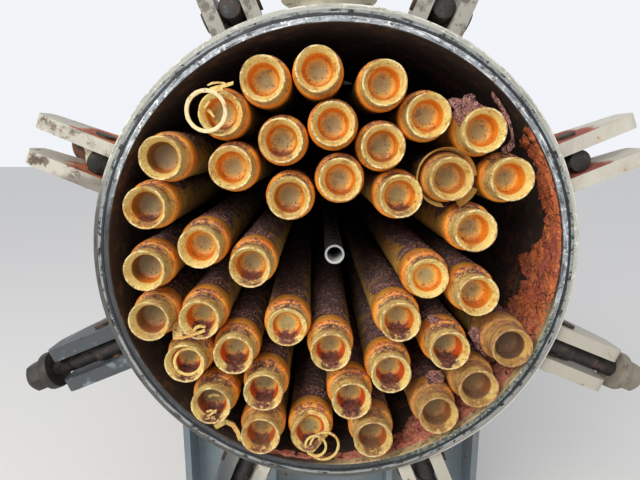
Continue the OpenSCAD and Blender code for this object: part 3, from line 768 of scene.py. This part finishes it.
# Middle lines of the narrow strips, from the top of the picture down
rim_tail = [(207.5, 109.5), (210.6, 112.5), (214.6, 117.4)]
rim_curl = [(203.6, 107.8), (207.4, 104.0), (209.8, 101.2)]
hooked_strip = [(215, 426.8), (225.6, 421.5), (233.3, 424.9), (238, 432.5), (240.9, 442.1), (243.8, 445.9)]
level_strip = [(205, 330.5), (190, 335.8), (182, 338), (173.2, 338.2)]
arched_strip = [(194, 331), (196, 327.5), (200, 326), (205.5, 327)]
upper_crumb = [(208.6, 396.5), (213, 394.5), (219.5, 395.5)]
middle_crumb = [(206.5, 411.5), (211, 410.5), (216.5, 413)]
lower_crumb = [(207.5, 416.5), (212, 413.5), (216.5, 410)]
torn_strips = [
    flake(top_strip, -0.009),
    flake(forked_strip, -0.014, lean=0.6),
    flake(ribbon(rim_tail, 3.4), -0.0045),
    flake(ribbon(rim_curl, 3.2), -0.0135),
    flake(ribbon(hooked_strip, 5), 0.012, thick=0.005),
    flake(ribbon(level_strip, 3), -0.030),
    flake(upright_chip, -0.0025, lean=0.5),
    flake(ribbon(arched_strip, 3.4), -0.018),
    flake(ribbon(upper_crumb, 3), 0.0165),
    flake(ribbon(middle_crumb, 2.4), -0.0115),
    flake(ribbon(lower_crumb, 2.0), -0.022)]
broken_parts += [plastic_part(strip, random.random(), 0.1) for strip in torn_strips]
rims = joined(broken_parts, "broken_cap_rims")
roughen(rims, 0.010, 0.0022)
finished(rims, amber_plastic)


# Rust scale
# Rust that has come up in layers from the shell wall near the mouth. It is thickest on the right,
# and along the bottom it lies as maroon crumbs. Its bright orange reaches back as far as light falls
# on the wall, so it is painted light as well as rust.
# How deep the scale reaches behind the ring face, at angles counted up from the right. Its far
# edge is the edge of the painted light on the wall.
lit_scale_reach = [(-114, 0.010), (-100, 0.030), (-77, 0.045), (-68, 0.100), (-56, 0.300), (-28, 0.235),
               (-19, 0.215), (-9, 0.150), (-5, 0.235), (3, 0.115), (12, 0.065), (17, 0.100),
               (24, 0.060), (31, 0.095), (37, 0.025)]
# How far behind the ring face it starts
scale_start = [(-114, 0.006), (-95, 0.016), (-70, 0.020), (-30, 0.016), (-5, 0.006), (37, 0.004)]


def between(steps, angle):
    """The value at an angle, in a list of angles and values."""
    for (a, near), (b, far) in zip(steps, steps[1:]):
        if a <= angle <= b:
            return near + (far - near) * (angle - a) / (b - a)
    return steps[-1][1]


wall_scale = added(bpy.ops.mesh.primitive_grid_add, x_subdivisions=420, y_subdivisions=60, size=1)
first_angle, last_angle = lit_scale_reach[0][0], lit_scale_reach[-1][0]
for vertex in wall_scale.data.vertices:
    along_wall, inward = vertex.co.x + 0.5, vertex.co.y + 0.5
    angle = first_angle + (last_angle - first_angle) * along_wall
    spot = Vector((angle / 4, inward * 3, 0))
    start = between(scale_start, angle) * (1 + 0.35 * fractal(spot * 2.3, 1, 2, 5))
    reach = max(start + 0.004, between(lit_scale_reach, angle) * (1 + 0.18 * fractal(spot * 1.7, 1, 2, 5)))
    behind = start + inward * (reach - start)
    wall_spot = Vector((math.radians(angle) * shell_in, behind, 0))
    lumps = fractal(wall_spot * 38, 0.8, 2.1, 5)
    cracks = abs(noise(wall_spot * 24 + Vector((7, 3, 1))))
    layer = min(1, max(0, 8 * noise(wall_spot * 13 + Vector((2, 5, 8)))))
    fade = min(1, inward * 14, (1 - inward) * 22, along_wall * 40, (1 - along_wall) * 40)
    thick = 0.0040 + 0.0046 * lumps + 0.0030 * layer
    if cracks < 0.06:
        thick -= 0.0045
    r = shell_in + 0.0012 - (thick + 0.0012) * fade
    turn = math.radians(angle)
    vertex.co = (r * math.cos(turn), face_y + behind, axis_z + r * math.sin(turn))
wall_scale.name = wall_scale.data.name = "wall_scale"

rust = Finish("rust_scale", "#b95f37", rough=0.95)
uneven_z = rust.plus(rust.split(rust.place)[2], rust.noise(14), 0.16)
low_down = rust.share(uneven_z, axis_z - 0.06, axis_z - 0.14)
rust.layer("#d37a45", (24, 0.46, 0.62))
rust.layer("#b97260", low_down, 0.92)
rust.layer("#6a3834", (50, 0.54, 0.66), rust.plus(0.35, low_down, 0.3))
rust.layer("#cb8c78", (90, 0.53, 0.64), low_down)
rust.layer("#a0504a", (11, 0.52, 0.60), 0.7)
rust.layer("#dd8a54", (130, 0.54, 0.60), 0.7)
rust.layer("#3a1a14", (70, 0.58, 0.64))
rust.layer("#4a241c", (260, 0.60, 0.64, 3))
crack = rust.band(rust.noise(13, 5, 0.6), 0.5, 0.011, 0.004)
rust.layer("#2a1310", crack, (6, 0.44, 0.54))
rust.relief(crack, -0.002)
rust.relief(rust.noise(160, 10, 0.75), 0.0030)
rust_scale = rust.done()


def scattered(host, grain, density, sizes, seed):
    """Strews grains over a host's faces, so many to a square metre, and gives back the grains alone."""
    tree = bpy.data.node_groups.new("strewn", "GeometryNodeTree")
    for way in ("INPUT", "OUTPUT"):
        tree.interface.new_socket("Geometry", in_out=way, socket_type="NodeSocketGeometry")
    start, end, spots, model, turns, scales, put, real = [tree.nodes.new(kind) for kind in (
        "NodeGroupInput", "NodeGroupOutput", "GeometryNodeDistributePointsOnFaces", "GeometryNodeObjectInfo",
        "FunctionNodeRandomValue", "FunctionNodeRandomValue", "GeometryNodeInstanceOnPoints",
        "GeometryNodeRealizeInstances")]
    spots.inputs["Density"].default_value = density
    spots.inputs["Seed"].default_value = seed
    model.inputs["Object"].default_value = grain
    turns.data_type = "FLOAT_VECTOR"
    turns.inputs["Max"].default_value = (2 * math.pi,) * 3
    scales.inputs[2].default_value, scales.inputs[3].default_value = sizes
    for a, b in (
            (start.outputs[0], spots.inputs[0]), (spots.outputs["Points"], put.inputs["Points"]),
            (model.outputs["Geometry"], put.inputs["Instance"]),
            (turns.outputs[0], put.inputs["Rotation"]), (scales.outputs[1], put.inputs["Scale"]),
            (put.outputs[0], real.inputs[0]), (real.outputs[0], end.inputs[0])):
        tree.links.new(a, b)
    grains = copied(host, "grains")
    modified(grains, "NODES", node_group=tree)
    return grains


def only_faces(piece, test):
    """A copy of a piece with just the faces that pass a test of their normal and own place."""
    part = copied(piece, "faces")
    own = part.data.attributes["own_place"].data
    for face in part.data.polygons:
        face.select = not test(face.normal, own[face.vertices[0]].vector)
    select_only(part)
    bpy.context.tool_settings.mesh_select_mode = (False, False, True)
    bpy.ops.object.mode_set(mode="EDIT")
    bpy.ops.mesh.delete(type="FACE")
    bpy.ops.object.mode_set(mode="OBJECT")
    bpy.context.tool_settings.mesh_select_mode = (True, False, False)
    return part


grain = added(bpy.ops.mesh.primitive_uv_sphere_add, segments=4, ring_count=2, radius=1)
grain.data.transform(Matrix.Diagonal((1, 0.8, 0.6, 1)))
for vertex in grain.data.vertices:
    vertex.co *= random.uniform(0.7, 1.25)

crumbs = scattered(wall_scale, grain, 19000, (0.0008, 0.0040), 3)
wall_scale = joined([wall_scale, crumbs], "wall_scale")
finished(wall_scale, rust_scale, angle=60)

# Where the crust lies on each row: along the tops of the bodies, thicker close behind the caps, on the
# caps' shoulders and in the bottoms of their holes. Each has its grains' number, sizes and seed.
crusted = (
    ("filter_bodies", lambda way, own: way.z > 0.45 and -0.34 < own.z < -0.046,
     2300, (0.0012, 0.0042), 11),
    ("filter_bodies", lambda way, own: way.z > 0.6 and -0.090 < own.z < -0.044,
     22000, (0.0014, 0.0044), 15),
    ("end_caps", lambda way, own: way.z > 0.55 and own.z < 0.03 and own.xy.length > neck_r - 0.002,
     4600, (0.0007, 0.0022), 12),
    ("end_caps", lambda way, own: own.y < -0.014 and own.xy.length < throat_r and 0.001 < own.z < 0.03,
     10000, (0.0008, 0.0030), 13))
crusts = []
for row in rows:
    for host, test, density, sizes, seed in crusted:
        faces = only_faces(bpy.data.objects[f"{row}_{host}"], test)
        crusts.append(scattered(faces, grain, density, sizes, seed))
        bpy.data.objects.remove(faces)

# Sheets of crust that hang between the caps of the upper right and lie on those of the lower right
web_seen = [
    (448, 99), (456.3, 97.9), (461.4, 99.8), (465.3, 95.3), (469.7, 93.4), (474.8, 95.9), (474.8, 99.8),
    (478, 103), (481.8, 104.9), (479.3, 110.6), (471.6, 118.3), (466.5, 123.4), (461.4, 127.2),
    (457.6, 123.4), (455, 118.3), (455, 110.6), (452.5, 106.8), (450, 104.2)]
arc_seen = [
    (492, 91.5), (494.6, 94), (498.4, 99.1), (501, 104.2), (504, 108), (508, 115), (511, 123),
    (513.7, 136.1), (514.4, 146.3), (509.9, 151.4), (506, 155.3), (501, 151.4), (502.2, 147.6),
    (508.6, 143.8), (511.2, 138.7), (510.4, 131), (508, 124), (505, 117), (501.2, 110.5), (498.4, 105.5),
    (494.6, 101.7), (492, 96.6)]
flare_seen = [(468, 333), (473, 325), (481.6, 331.5), (479, 345.5), (486.7, 357), (476.5, 348)]
low_seen = [(425, 373.6), (430.6, 370.4), (440.8, 371), (444.6, 377.4), (442, 382.5), (429.3, 383.8)]
back_seen = [(428, 316), (433, 314.5), (440, 318.5), (437, 324), (429, 323)]
sheets_seen = ((web_seen, -0.012), (arc_seen, 0.0185), (flare_seen, 0.027), (low_seen, 0.025),
               (back_seen, 0.021))
sheets = joined([flake(seen, behind, thick=0.004) for seen, behind in sheets_seen], "sheets")
roughen(sheets, 0.007, 0.007)
sheet_crumbs = scattered(sheets, grain, 70000, (0.0007, 0.0020), 14)
filter_crust = joined([*crusts, sheets, sheet_crumbs], "filter_crust")
maroon = Finish("maroon_crust", "#94625a", rough=0.95)
maroon.layer("#4a2c2e", (35, 0.47, 0.6))
maroon.layer("#b8857a", (80, 0.52, 0.62))
maroon.layer("#241517", (260, 0.52, 0.57, 3))
maroon.layer("#c99a8c", (300, 0.57, 0.62, 3))
maroon.relief(maroon.noise(160, 8, 0.7), 0.002)
finished(filter_crust, maroon.done(), angle=60)
bpy.data.objects.remove(grain)

# Closure ring
# A forged ring welded to the shell. The land inside the seal is machined steel, scuffed bright by
# filters dragged over it. The land outside the seal carries old paint. The lower left is painted near
# black, as a painted reflection of the dark ground.
land_out = shell_in + 0.013
groove_out = land_out + 0.0125
ring_len = 0.130
ring_taper = 0.060
ring = weathered_paint("ring_face", "#c4c0b2", "#a29f92", chips=0.70)
distance = ring.from_axis()
spot = ring.split(ring.place)
above_axis = ring.math("SUBTRACT", spot[2], axis_z)
front = ring.region(y=(0.004, 0.0015))
# Coordinates drawn out along the circle, for the marks that wiping and dragging leave
round_way = ring.vector(
    ring.math("MULTIPLY", ring.math("DIVIDE", spot[0], distance), 9),
    ring.math("MULTIPLY", ring.math("DIVIDE", above_axis, distance), 9),
    ring.math("MULTIPLY", distance, 260))
scuffs = ring.noise(1, 10, 0.7, at=round_way)
ring.layer("#a9aaa0", front, 0.85, rough=0.6)
ring.layer("#77786f", front, ring.share(scuffs, 0.52, 0.64))
ring.layer("#d9d8cc", front, (110, 0.56, 0.62, 8, 0.7), 0.8)
bare = ring.both(front, ring.share(distance, groove_out + 0.001, groove_out))
ring.layer("#8f959a", bare, rough=0.42, metal=0.35)
ring.layer("#e2e6e8", bare, ring.share(scuffs, 0.53, 0.62), rough=0.35)
ring.layer("#3c434a", bare, ring.share(scuffs, 0.47, 0.38), rough=0.5)
ring.layer("#eef0ee", bare, (95, 0.55, 0.60, 10, 0.75), 0.8, rough=0.4)
ring.layer("#4b4236", bare, (60, 0.55, 0.60, 12, 0.75), 0.85, rough=0.7)
worn_edge = ring.band(distance, ring_r - 0.0015, 0.0022, 0.0008)
ring.layer("#e0ddd2", worn_edge, front, (30, 0.42, 0.55))
# The lower left of the face is painted near black, as a painted reflection of the dark ground.
leftward = ring.math("ADD", spot[0], above_axis)
dark_reflection = ring.both(front, ring.share(ring.plus(leftward, ring.noise(9, 8), 0.3), -0.02, -0.30))
lower_right = ring.both(bare, ring.region(z=(-0.02, -0.20), x=(-0.05, 0.10)))
ring.layer("#7c8276", lower_right, 0.85, rough=0.6)
ring.layer("#454c48", lower_right, (110, 0.48, 0.56))
ring.layer("#c9ccb8", lower_right, (150, 0.58, 0.62))
outer_rim = ring.both(front, ring.share(distance, groove_out, groove_out + 0.002))
ring.layer("#847e78", outer_rim, ring.region(z=(0, -0.25)), 0.85)
ring.layer("#e6e2da", worn_edge, front, ring.region(z=(-0.05, -0.15), x=(-0.05, 0.10)))
ring.layer("#2a2c2e", dark_reflection, 0.94, rough=0.45, metal=0.0)
ring.layer("#504f4a", dark_reflection, ring.share(distance, groove_out + 0.001, groove_out + 0.003),
           (20, 0.30, 0.45))
ring.layer("#8d8f87", dark_reflection, ring.share(scuffs, 0.63, 0.69), 0.8)
ring.layer("#1f2123", dark_reflection, ring.share(scuffs, 0.45, 0.36))
bore = ring.share(distance, shell_in + 0.002, shell_in + 0.0008)
ring.layer("#33271f", bore, rough=0.9, metal=0.0)
ring.layer("#5a4234", bore, (30, 0.5, 0.66))
# Dust lies in the lower part of the bore behind the face.
dusty = ring.both(bore, ring.region(y=(0.050, 0.030), z=(-0.05, -0.20), x=(-0.08, 0.08)))
ring.layer("#bda97c", dusty)
ring.layer("#6b6a4c", dusty, (18, 0.46, 0.60))
ring.layer("#8f604c", dusty, (110, 0.53, 0.61))
ring.layer("#d3c49a", dusty, (90, 0.58, 0.64))
ring.relief(ring.noise(150, 8, 0.7), 0.0009)
dress(ring.done(), "closure_ring")

# Seal
# A rubber ring pressed into the groove, scuffed grey where the cover has worn it. A pale blue-grey
# line along its middle is a painted reflection.
rubber = Finish("seal_rubber", "#1a1d21", rough=0.45)
rubber.layer("#343a42", (40, 0.54, 0.64, 10, 0.7))
seal_middle = (land_out + groove_out) / 2
# A pale blue-grey line along the middle of the seal is a painted reflection of the sky.
crest_reflection = rubber.band(rubber.from_axis(), seal_middle, 0.0016, 0.0004)
dusty_edge = rubber.share(rubber.from_axis(), seal_middle - 0.0010, seal_middle + 0.0020)
rubber.layer("#8d8f8a", dusty_edge, (30, 0.34, 0.50), rough=0.8)
rubber.layer("#9aa3ab", crest_reflection, (14, 0.44, 0.58), rough=0.35)
rubber.layer("#0d0f11", (55, 0.54, 0.62))
rubber.relief(rubber.noise(60, 10, 0.7), 0.0025)
dress(rubber.done(), "seal_ring")

# Lugs
# Eight pairs of thick plates, flame-cut and welded across the ring and the shell. Their off-white
# paint has gone from the top edges of the side ones, and rust shows there.
lugs = weathered_paint("lug_paint", "#c6c2b5", "#a8a396", chips=0.62)
# The lower left pair is painted dark grey with paler bluish patches, as painted shade.
shaded_lower_left = lugs.region(x=(-0.12, -0.30), z=(0.02, -0.10))
lugs.layer("#41464a", shaded_lower_left, (12, 0.30, 0.42, 8, 0.6))
lugs.layer("#6d787e", shaded_lower_left, (22, 0.54, 0.64))
# The top pair is painted darker, as painted shade.
shaded_top_pair = lugs.region(z=(0.42, 0.50))
lugs.layer("#85827a", shaded_top_pair, 0.7)
lugs.layer("#5f5a50", shaded_top_pair, (28, 0.50, 0.62))
facing_up = lugs.share(lugs.split(lugs.facing)[2], 0.80, 0.90)
aside = lugs.split(lugs.place)[0]
side_edge = lugs.both(facing_up, lugs.region(z=(0.1, 0.15)), lugs.band(aside, 0, 0.4, 0.45))
half_way = lugs.share(lugs.plus(lugs.from_axis(), lugs.noise(20, 8), 0.10), 0.715, 0.690)
lugs.layer("#b5653f", side_edge, half_way, rough=0.9)
lugs.layer("#7c4034", side_edge, half_way, (30, 0.48, 0.62))
lugs.layer("#8e4840", side_edge, half_way, lugs.region(x=(0, 0.1)), 0.85)
# The front edges of the upper left pair are painted darker, the lower plate most, as painted shade.
facing_front = lugs.share(lugs.split(lugs.facing)[1], -0.70, -0.90)
shaded_fronts = lugs.both(facing_front, lugs.region(x=(-0.40, -0.45), z=(0.05, 0.10)))
lugs.layer("#9a9284", shaded_fronts, (14, 0.44, 0.58), 0.85)
lugs.layer("#5f564b", shaded_fronts, (26, 0.52, 0.60, 12, 0.75), 0.9, rough=0.85)
lugs.layer("#6a625a", shaded_fronts, lugs.region(z=(0.205, 0.185)), 0.75)
lower_right = lugs.region(x=(0.12, 0.30), z=(0.02, -0.10))
lugs.layer("#a8a294", lower_right, 0.75)
dress(lugs.done(), "closure_lugs")

# Hinge pins
# Plain steel pins through both plates of a lug and the bolt's head, rusted, and painted dark as painted
# shade as well.
pins = Finish("pin_rust", "#383029", rough=0.7, metal=0.1)
pins.layer("#66442e", (60, 0.5, 0.6), rough=0.9, metal=0.0)
pins.relief(pins.noise(120, 6), 0.0006)
dress(pins.done(), "hinge_pins")

# Swing bolts
# Turned bars with a round head on the pin and a thread along the outer half, painted near black:
# old grease, and painted shade.
pin_r = 0.0159
head_r = 0.025
head_in = 0.031
head_out = 0.048
bolt_r = 0.02065
bolt_end = 0.233
thread_from = 0.112
thread_pitch = 0.0042
thread_depth = 0.0022
washer_from = 0.160
washer_r = 0.0475
washer_t = 0.024
nut_flat = 0.0325
nut_h = 0.041


def cut_with(piece, tool, operation):
    modified(piece, "BOOLEAN", object=tool, operation=operation, solver="EXACT")
    bpy.data.objects.remove(tool)


bar = turned("bar", [
    (0, -head_in), (head_r - 0.003, -head_in), (head_r - 0.001, -head_in + 0.001),
    (head_r, -head_in + 0.003), (head_r, head_out - 0.008), (head_r - 0.001, head_out - 0.003),
    (bolt_r + 0.001, head_out + 0.001), (bolt_r, head_out + 0.004), (bolt_r, thread_from - 0.003),
    (bolt_r - thread_depth, thread_from), (bolt_r - thread_depth, bolt_end - 0.003),
    (bolt_r - 0.004, bolt_end), (0, bolt_end)], 40)
pin_hole = added(bpy.ops.mesh.primitive_cylinder_add, vertices=40, radius=pin_r, depth=4 * head_r,
                 rotation=(0, math.radians(90), 0))
cut_with(bar, pin_hole, "DIFFERENCE")
core_r = bolt_r - thread_depth - 0.0002
thread = turned("thread", [(core_r, 0), (bolt_r, 0.32 * thread_pitch), (bolt_r, 0.62 * thread_pitch),
                           (core_r, thread_pitch)], 28, rise=thread_pitch,
                turns=int((bolt_end - thread_from - 0.004) / thread_pitch))
thread.data.transform(Matrix.Translation((0, 0, thread_from)))
bolt_model = joined([bar, thread], "bolt_model")

# Nuts and washers
# A heavy hexagon nut with chamfered corners on a thick washer, left near the end of each bolt.
corner_r = nut_flat / math.cos(math.radians(30))
nut_from = washer_from + washer_t
washer = turned("washer", [
    (bolt_r + 0.0005, washer_from), (washer_r - 0.003, washer_from),
    (washer_r - 0.0008, washer_from + 0.001), (washer_r, washer_from + 0.004), (washer_r, nut_from - 0.004),
    (washer_r - 0.0012, nut_from - 0.001), (washer_r - 0.004, nut_from), (bolt_r + 0.0005, nut_from)],
    48, closed=True)
roughen(washer, 0.012, 0.0014)
nut = added(bpy.ops.mesh.primitive_cylinder_add, (0, 0, nut_from + nut_h / 2), vertices=6, radius=corner_r,
            depth=nut_h)
chamfer = turned("chamfer", [
    (bolt_r + 0.0004, nut_from - 0.001), (nut_flat, nut_from - 0.001), (corner_r + 0.001, nut_from + 0.004),
    (corner_r + 0.001, nut_from + nut_h - 0.0045), (nut_flat - 0.001, nut_from + nut_h + 0.0005),
    (bolt_r + 0.0004, nut_from + nut_h + 0.0005)], 48, closed=True)
cut_with(nut, chamfer, "INTERSECT")
modified(nut, "BEVEL", width=0.0008, segments=2, angle_limit=math.radians(35))
nut_model = joined([washer, nut], "nut_model")

# The near black of the bolts is partly old grease and partly painted shade.
bolts = Finish("bolt_steel", "#272523", rough=0.6, metal=0.1)
bolts.layer("#4c3c34", (45, 0.52, 0.62, 10, 0.7), rough=0.85, metal=0.0)
bolts.layer("#1c1a18", (30, 0.52, 0.64), rough=0.4)
bolts.relief(bolts.noise(130, 8), 0.0009)
# Overspray of the shell's paint covers the upper left bolt's bar.
painted_bar = bolts.both(bolts.region(x=(-0.30, -0.40), z=(0.05, 0.10)),
                         bolts.share(bolts.from_axis(), ring_r + 0.056, ring_r + 0.064))
bolts.layer("#c9c2a6", painted_bar, (20, 0.30, 0.40), rough=0.7, metal=0.0)
greased_and_shaded_bolt = bolts.done()
nuts = Finish("nut_steel", "#40382f", rough=0.6, metal=0.2)
nuts.layer("#6e4a38", (35, 0.48, 0.60, 10, 0.7), rough=0.9, metal=0.0)
nuts.layer("#272320", (25, 0.52, 0.62), rough=0.5)
nuts.relief(nuts.noise(110, 8), 0.0012)
nuts.layer("#857d70", nuts.region(x=(0.3, 0.4), z=(0, -0.1)), (18, 0.30, 0.48), rough=0.8)
# The lower left nuts are painted near black, as painted shade.
nuts.layer("#262520", nuts.region(x=(-0.3, -0.4), z=(0, -0.1)), 0.85, rough=0.5)
rusted_nut = nuts.done()

for joint in frame["joints"]:
    body = joint["child"]
    number = body.split("_")[1]
    pin_at = Vector(joint["pos_m"])
    pin_way = Vector(joint["axis"]).normalized()
    reach = [vertex.co - pin_at for vertex in frame["nodes"][f"swing_bolt_{number}"].data.vertices]
    tips = [far for far in reach if far.length > bolt_end - 0.001]
    bar_way = (sum(tips, Vector()) / len(tips)).normalized()
    hung = Matrix((pin_way, bar_way.cross(pin_way), bar_way)).transposed().to_4x4()
    for model, name, material, slot, node in (
            (bolt_model, "bolt", greased_and_shaded_bolt, "bolt_steel", "swing_bolt"),
            (nut_model, "nut", rusted_nut, "nut_steel", "bolt_nut")):
        piece = copied(model, f"threaded_{name}_{number}")
        piece.data.transform(Matrix.Translation(pin_at) @ hung)
        finished(piece, material, body, angle=35)
        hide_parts(f"{node}_{number}")
bpy.data.objects.remove(bolt_model)
bpy.data.objects.remove(nut_model)

# Saddles
# Two welded plate saddles carry the vessel on wear plates rolled to the shell, in blue-grey paint.
saddle_paint = weathered_paint("saddle_paint", "#7f8d94", "#6b7982")
dress(saddle_paint.done(), "front_saddle", "rear_saddle", "wear_plates")

# Nozzles and fittings
# The flanged gas nozzles on their pads, the drains, the threaded couplings and the lifting lugs.
nozzles = weathered_paint("nozzle_paint", "#cfc9b4", "#bdb6a0")
spot = nozzles.split(nozzles.place)
flange_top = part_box("nozzle_flanges")[1].z
flange_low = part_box("drain_flanges")[0].z
gasket_faces = nozzles.math("MAXIMUM", nozzles.share(spot[2], flange_top - 0.0006, flange_top - 0.0002),
                                 nozzles.share(spot[2], flange_low + 0.0006, flange_low + 0.0002))
nozzles.layer("#6c5f55", gasket_faces, rough=0.55, metal=0.5)
nozzles.layer("#83492d", gasket_faces, (40, 0.48, 0.6), rough=0.9, metal=0.0)
dress(nozzles.done(), "nozzle_pipes", "nozzle_flanges", "nozzle_pads", "drain_pipes",
      "drain_flanges", "couplings", "lifting_lugs")

# Welds
# Hand-laid beads round the ring, the courses, the head, the lugs, the nozzles and the wear plates.
bead_r = 0.0055
at = {mount["name"]: Vector(mount["pos_m"]) for mount in frame["record"]["mounts"]}
course_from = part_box("rear_crown")[0].y
wear_out = shell_out + 0.012
pad_out = shell_out + 0.016


def bead(loop, thick=bead_r):
    """A weld bead laid along a loop or line of edges."""
    select_only(loop)
    bpy.ops.object.convert(target="CURVE")
    loop.data.bevel_depth = thick
    loop.data.bevel_resolution = 1
    loop.data.use_fill_caps = True
    bpy.ops.object.convert(target="MESH")
    return bpy.context.object


def hoop(y, r):
    """A loop right round the vessel."""
    return added(bpy.ops.mesh.primitive_circle_add, (0, y, axis_z), vertices=320, radius=r,
                 rotation=(math.radians(90), 0, 0))


def ring_on_shell(y, r, out, side=1):
    """A round loop let down, or up, onto a cylinder about the vessel's axis."""
    loop = added(bpy.ops.mesh.primitive_circle_add, (0, y, 0), vertices=120, radius=r)
    for vertex in loop.data.vertices:
        vertex.co.z = axis_z + side * math.sqrt(out ** 2 - vertex.co.x ** 2)
    return loop


def patch_on_shell(y, long, middle, wide, out, cuts):
    """A four-sided loop wrapped round the vessel: long along it, and wide in degrees round it."""
    loop = added(bpy.ops.mesh.primitive_plane_add, size=1)
    edited(loop, delete={"type": "ONLY_FACE"}, subdivide={"number_cuts": cuts})
    for vertex in loop.data.vertices:
        angle = math.radians(middle + wide * vertex.co.x)
        vertex.co = (out * math.cos(angle), y + long * vertex.co.y, axis_z + out * math.sin(angle))
    return loop


def seam(angle, y_from, y_to):
    """A straight seam along the shell."""
    r = shell_out - 0.002
    x, z = r * math.cos(math.radians(angle)), axis_z + r * math.sin(math.radians(angle))
    line = drawn("seam", [(x, y_from, z), (x, y_to, z)])
    edited(line, subdivide={"number_cuts": round((y_to - y_from) / 0.006)})
    return line


lug_t = 0.032
lug_gap = 0.052
lug_front = 0.022
lug_foot = 0.200


def ring_profile(behind):
    """Radius of the ring and shell at a distance behind the ring face."""
    if behind < ring_len:
        return ring_r
    return max(shell_out, ring_r - (ring_r - shell_out) * (behind - ring_len) / ring_taper)


def lug_foot_loop(middle):
    """The loop round one plate's foot, for a plate whose middle is that far aside of the pair's."""
    steps = [lug_front + lug_foot * i / 40 for i in range(41)]
    left, right = middle - lug_t / 2, middle + lug_t / 2
    path = [(behind, left) for behind in steps] + [(behind, right) for behind in reversed(steps)]
    points = [(math.sqrt(ring_profile(behind) ** 2 - aside ** 2), face_y + behind, aside)
              for behind, aside in path]
    return drawn("foot", points, closed=True)


feet = [lug_foot_loop(side * (lug_gap + lug_t) / 2) for side in (-1, 1)]
lug_feet = []
pairs = len(frame["joints"])
for count in range(pairs):
    angle = 2 * math.pi * (count + 0.5) / pairs
    for foot in feet:
        twin = copied(foot, "foot")
        twin.data.transform(Matrix.Translation((0, 0, axis_z)) @ Matrix.Rotation(-angle, 4, "Y"))
        lug_feet.append(bead(twin))
for foot in feet:
    bpy.data.objects.remove(foot)
lug_welds = joined(lug_feet, "lug_welds")

saddle_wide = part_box("front_saddle")[1].x * 2
saddle_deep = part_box("wear_plates")[1].y - at["rear_saddle_foot"].y
web_t = 0.016
web_half = math.degrees(math.asin(saddle_wide / 2 / wear_out))
saddle_welds = []
for foot in ("front_saddle_foot", "rear_saddle_foot"):
    for long, wide, out in ((2 * saddle_deep, 2 * web_half + 6, shell_out + 0.003),
                            (web_t, 2 * web_half, wear_out)):
        saddle_welds.append(bead(patch_on_shell(at[foot].y, long, 270, wide, out, 150)))
saddle_welds = joined(saddle_welds, "saddle_welds")

nozzle_r = 0.10955
shell_from = face_y + ring_len + ring_taper
shell_welds = [bead(hoop(y, shell_out - 0.001)) for y in (shell_from, course_from, head_from)]
shell_welds += [bead(seam(65, shell_from, course_from)), bead(seam(115, course_from, head_from))]
for name in ("inlet_bore", "outlet_bore"):
    shell_welds.append(bead(ring_on_shell(at[name].y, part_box("nozzle_pads")[1].x, shell_out + 0.002)))
    shell_welds.append(bead(ring_on_shell(at[name].y, nozzle_r + 0.001, pad_out), 0.008))
for name in ("front_drain_bore", "rear_drain_bore"):
    shell_welds.append(bead(ring_on_shell(at[name].y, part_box("drain_pipes")[1].x, shell_out, -1)))
for name in ("vent_thread", "gauge_thread"):
    shell_welds.append(bead(ring_on_shell(at[name].y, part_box("couplings")[1].x, shell_out)))
for name in ("lifting_hole_1", "lifting_hole_2"):
    wide = math.degrees(0.025 / shell_out)
    shell_welds.append(bead(patch_on_shell(at[name].y, 0.130, 90, wide, shell_out, 20)))
shell_welds = joined(shell_welds, "shell_welds")

weld_paint = weathered_paint("weld_paint", "#c4bda8", "#a79f8b", chips=0.54).done()
saddle_weld_paint = weathered_paint("saddle_weld_paint", "#7f8d94", "#64727b", chips=0.54).done()
for welds, paint, slot in (
        (shell_welds, weld_paint, "shell_paint"), (lug_welds, weld_paint, "lug_paint"),
        (saddle_welds, saddle_weld_paint, "saddle_paint")):
    roughen(welds, 0.006, 0.0034)
    finished(welds, paint, angle=60)
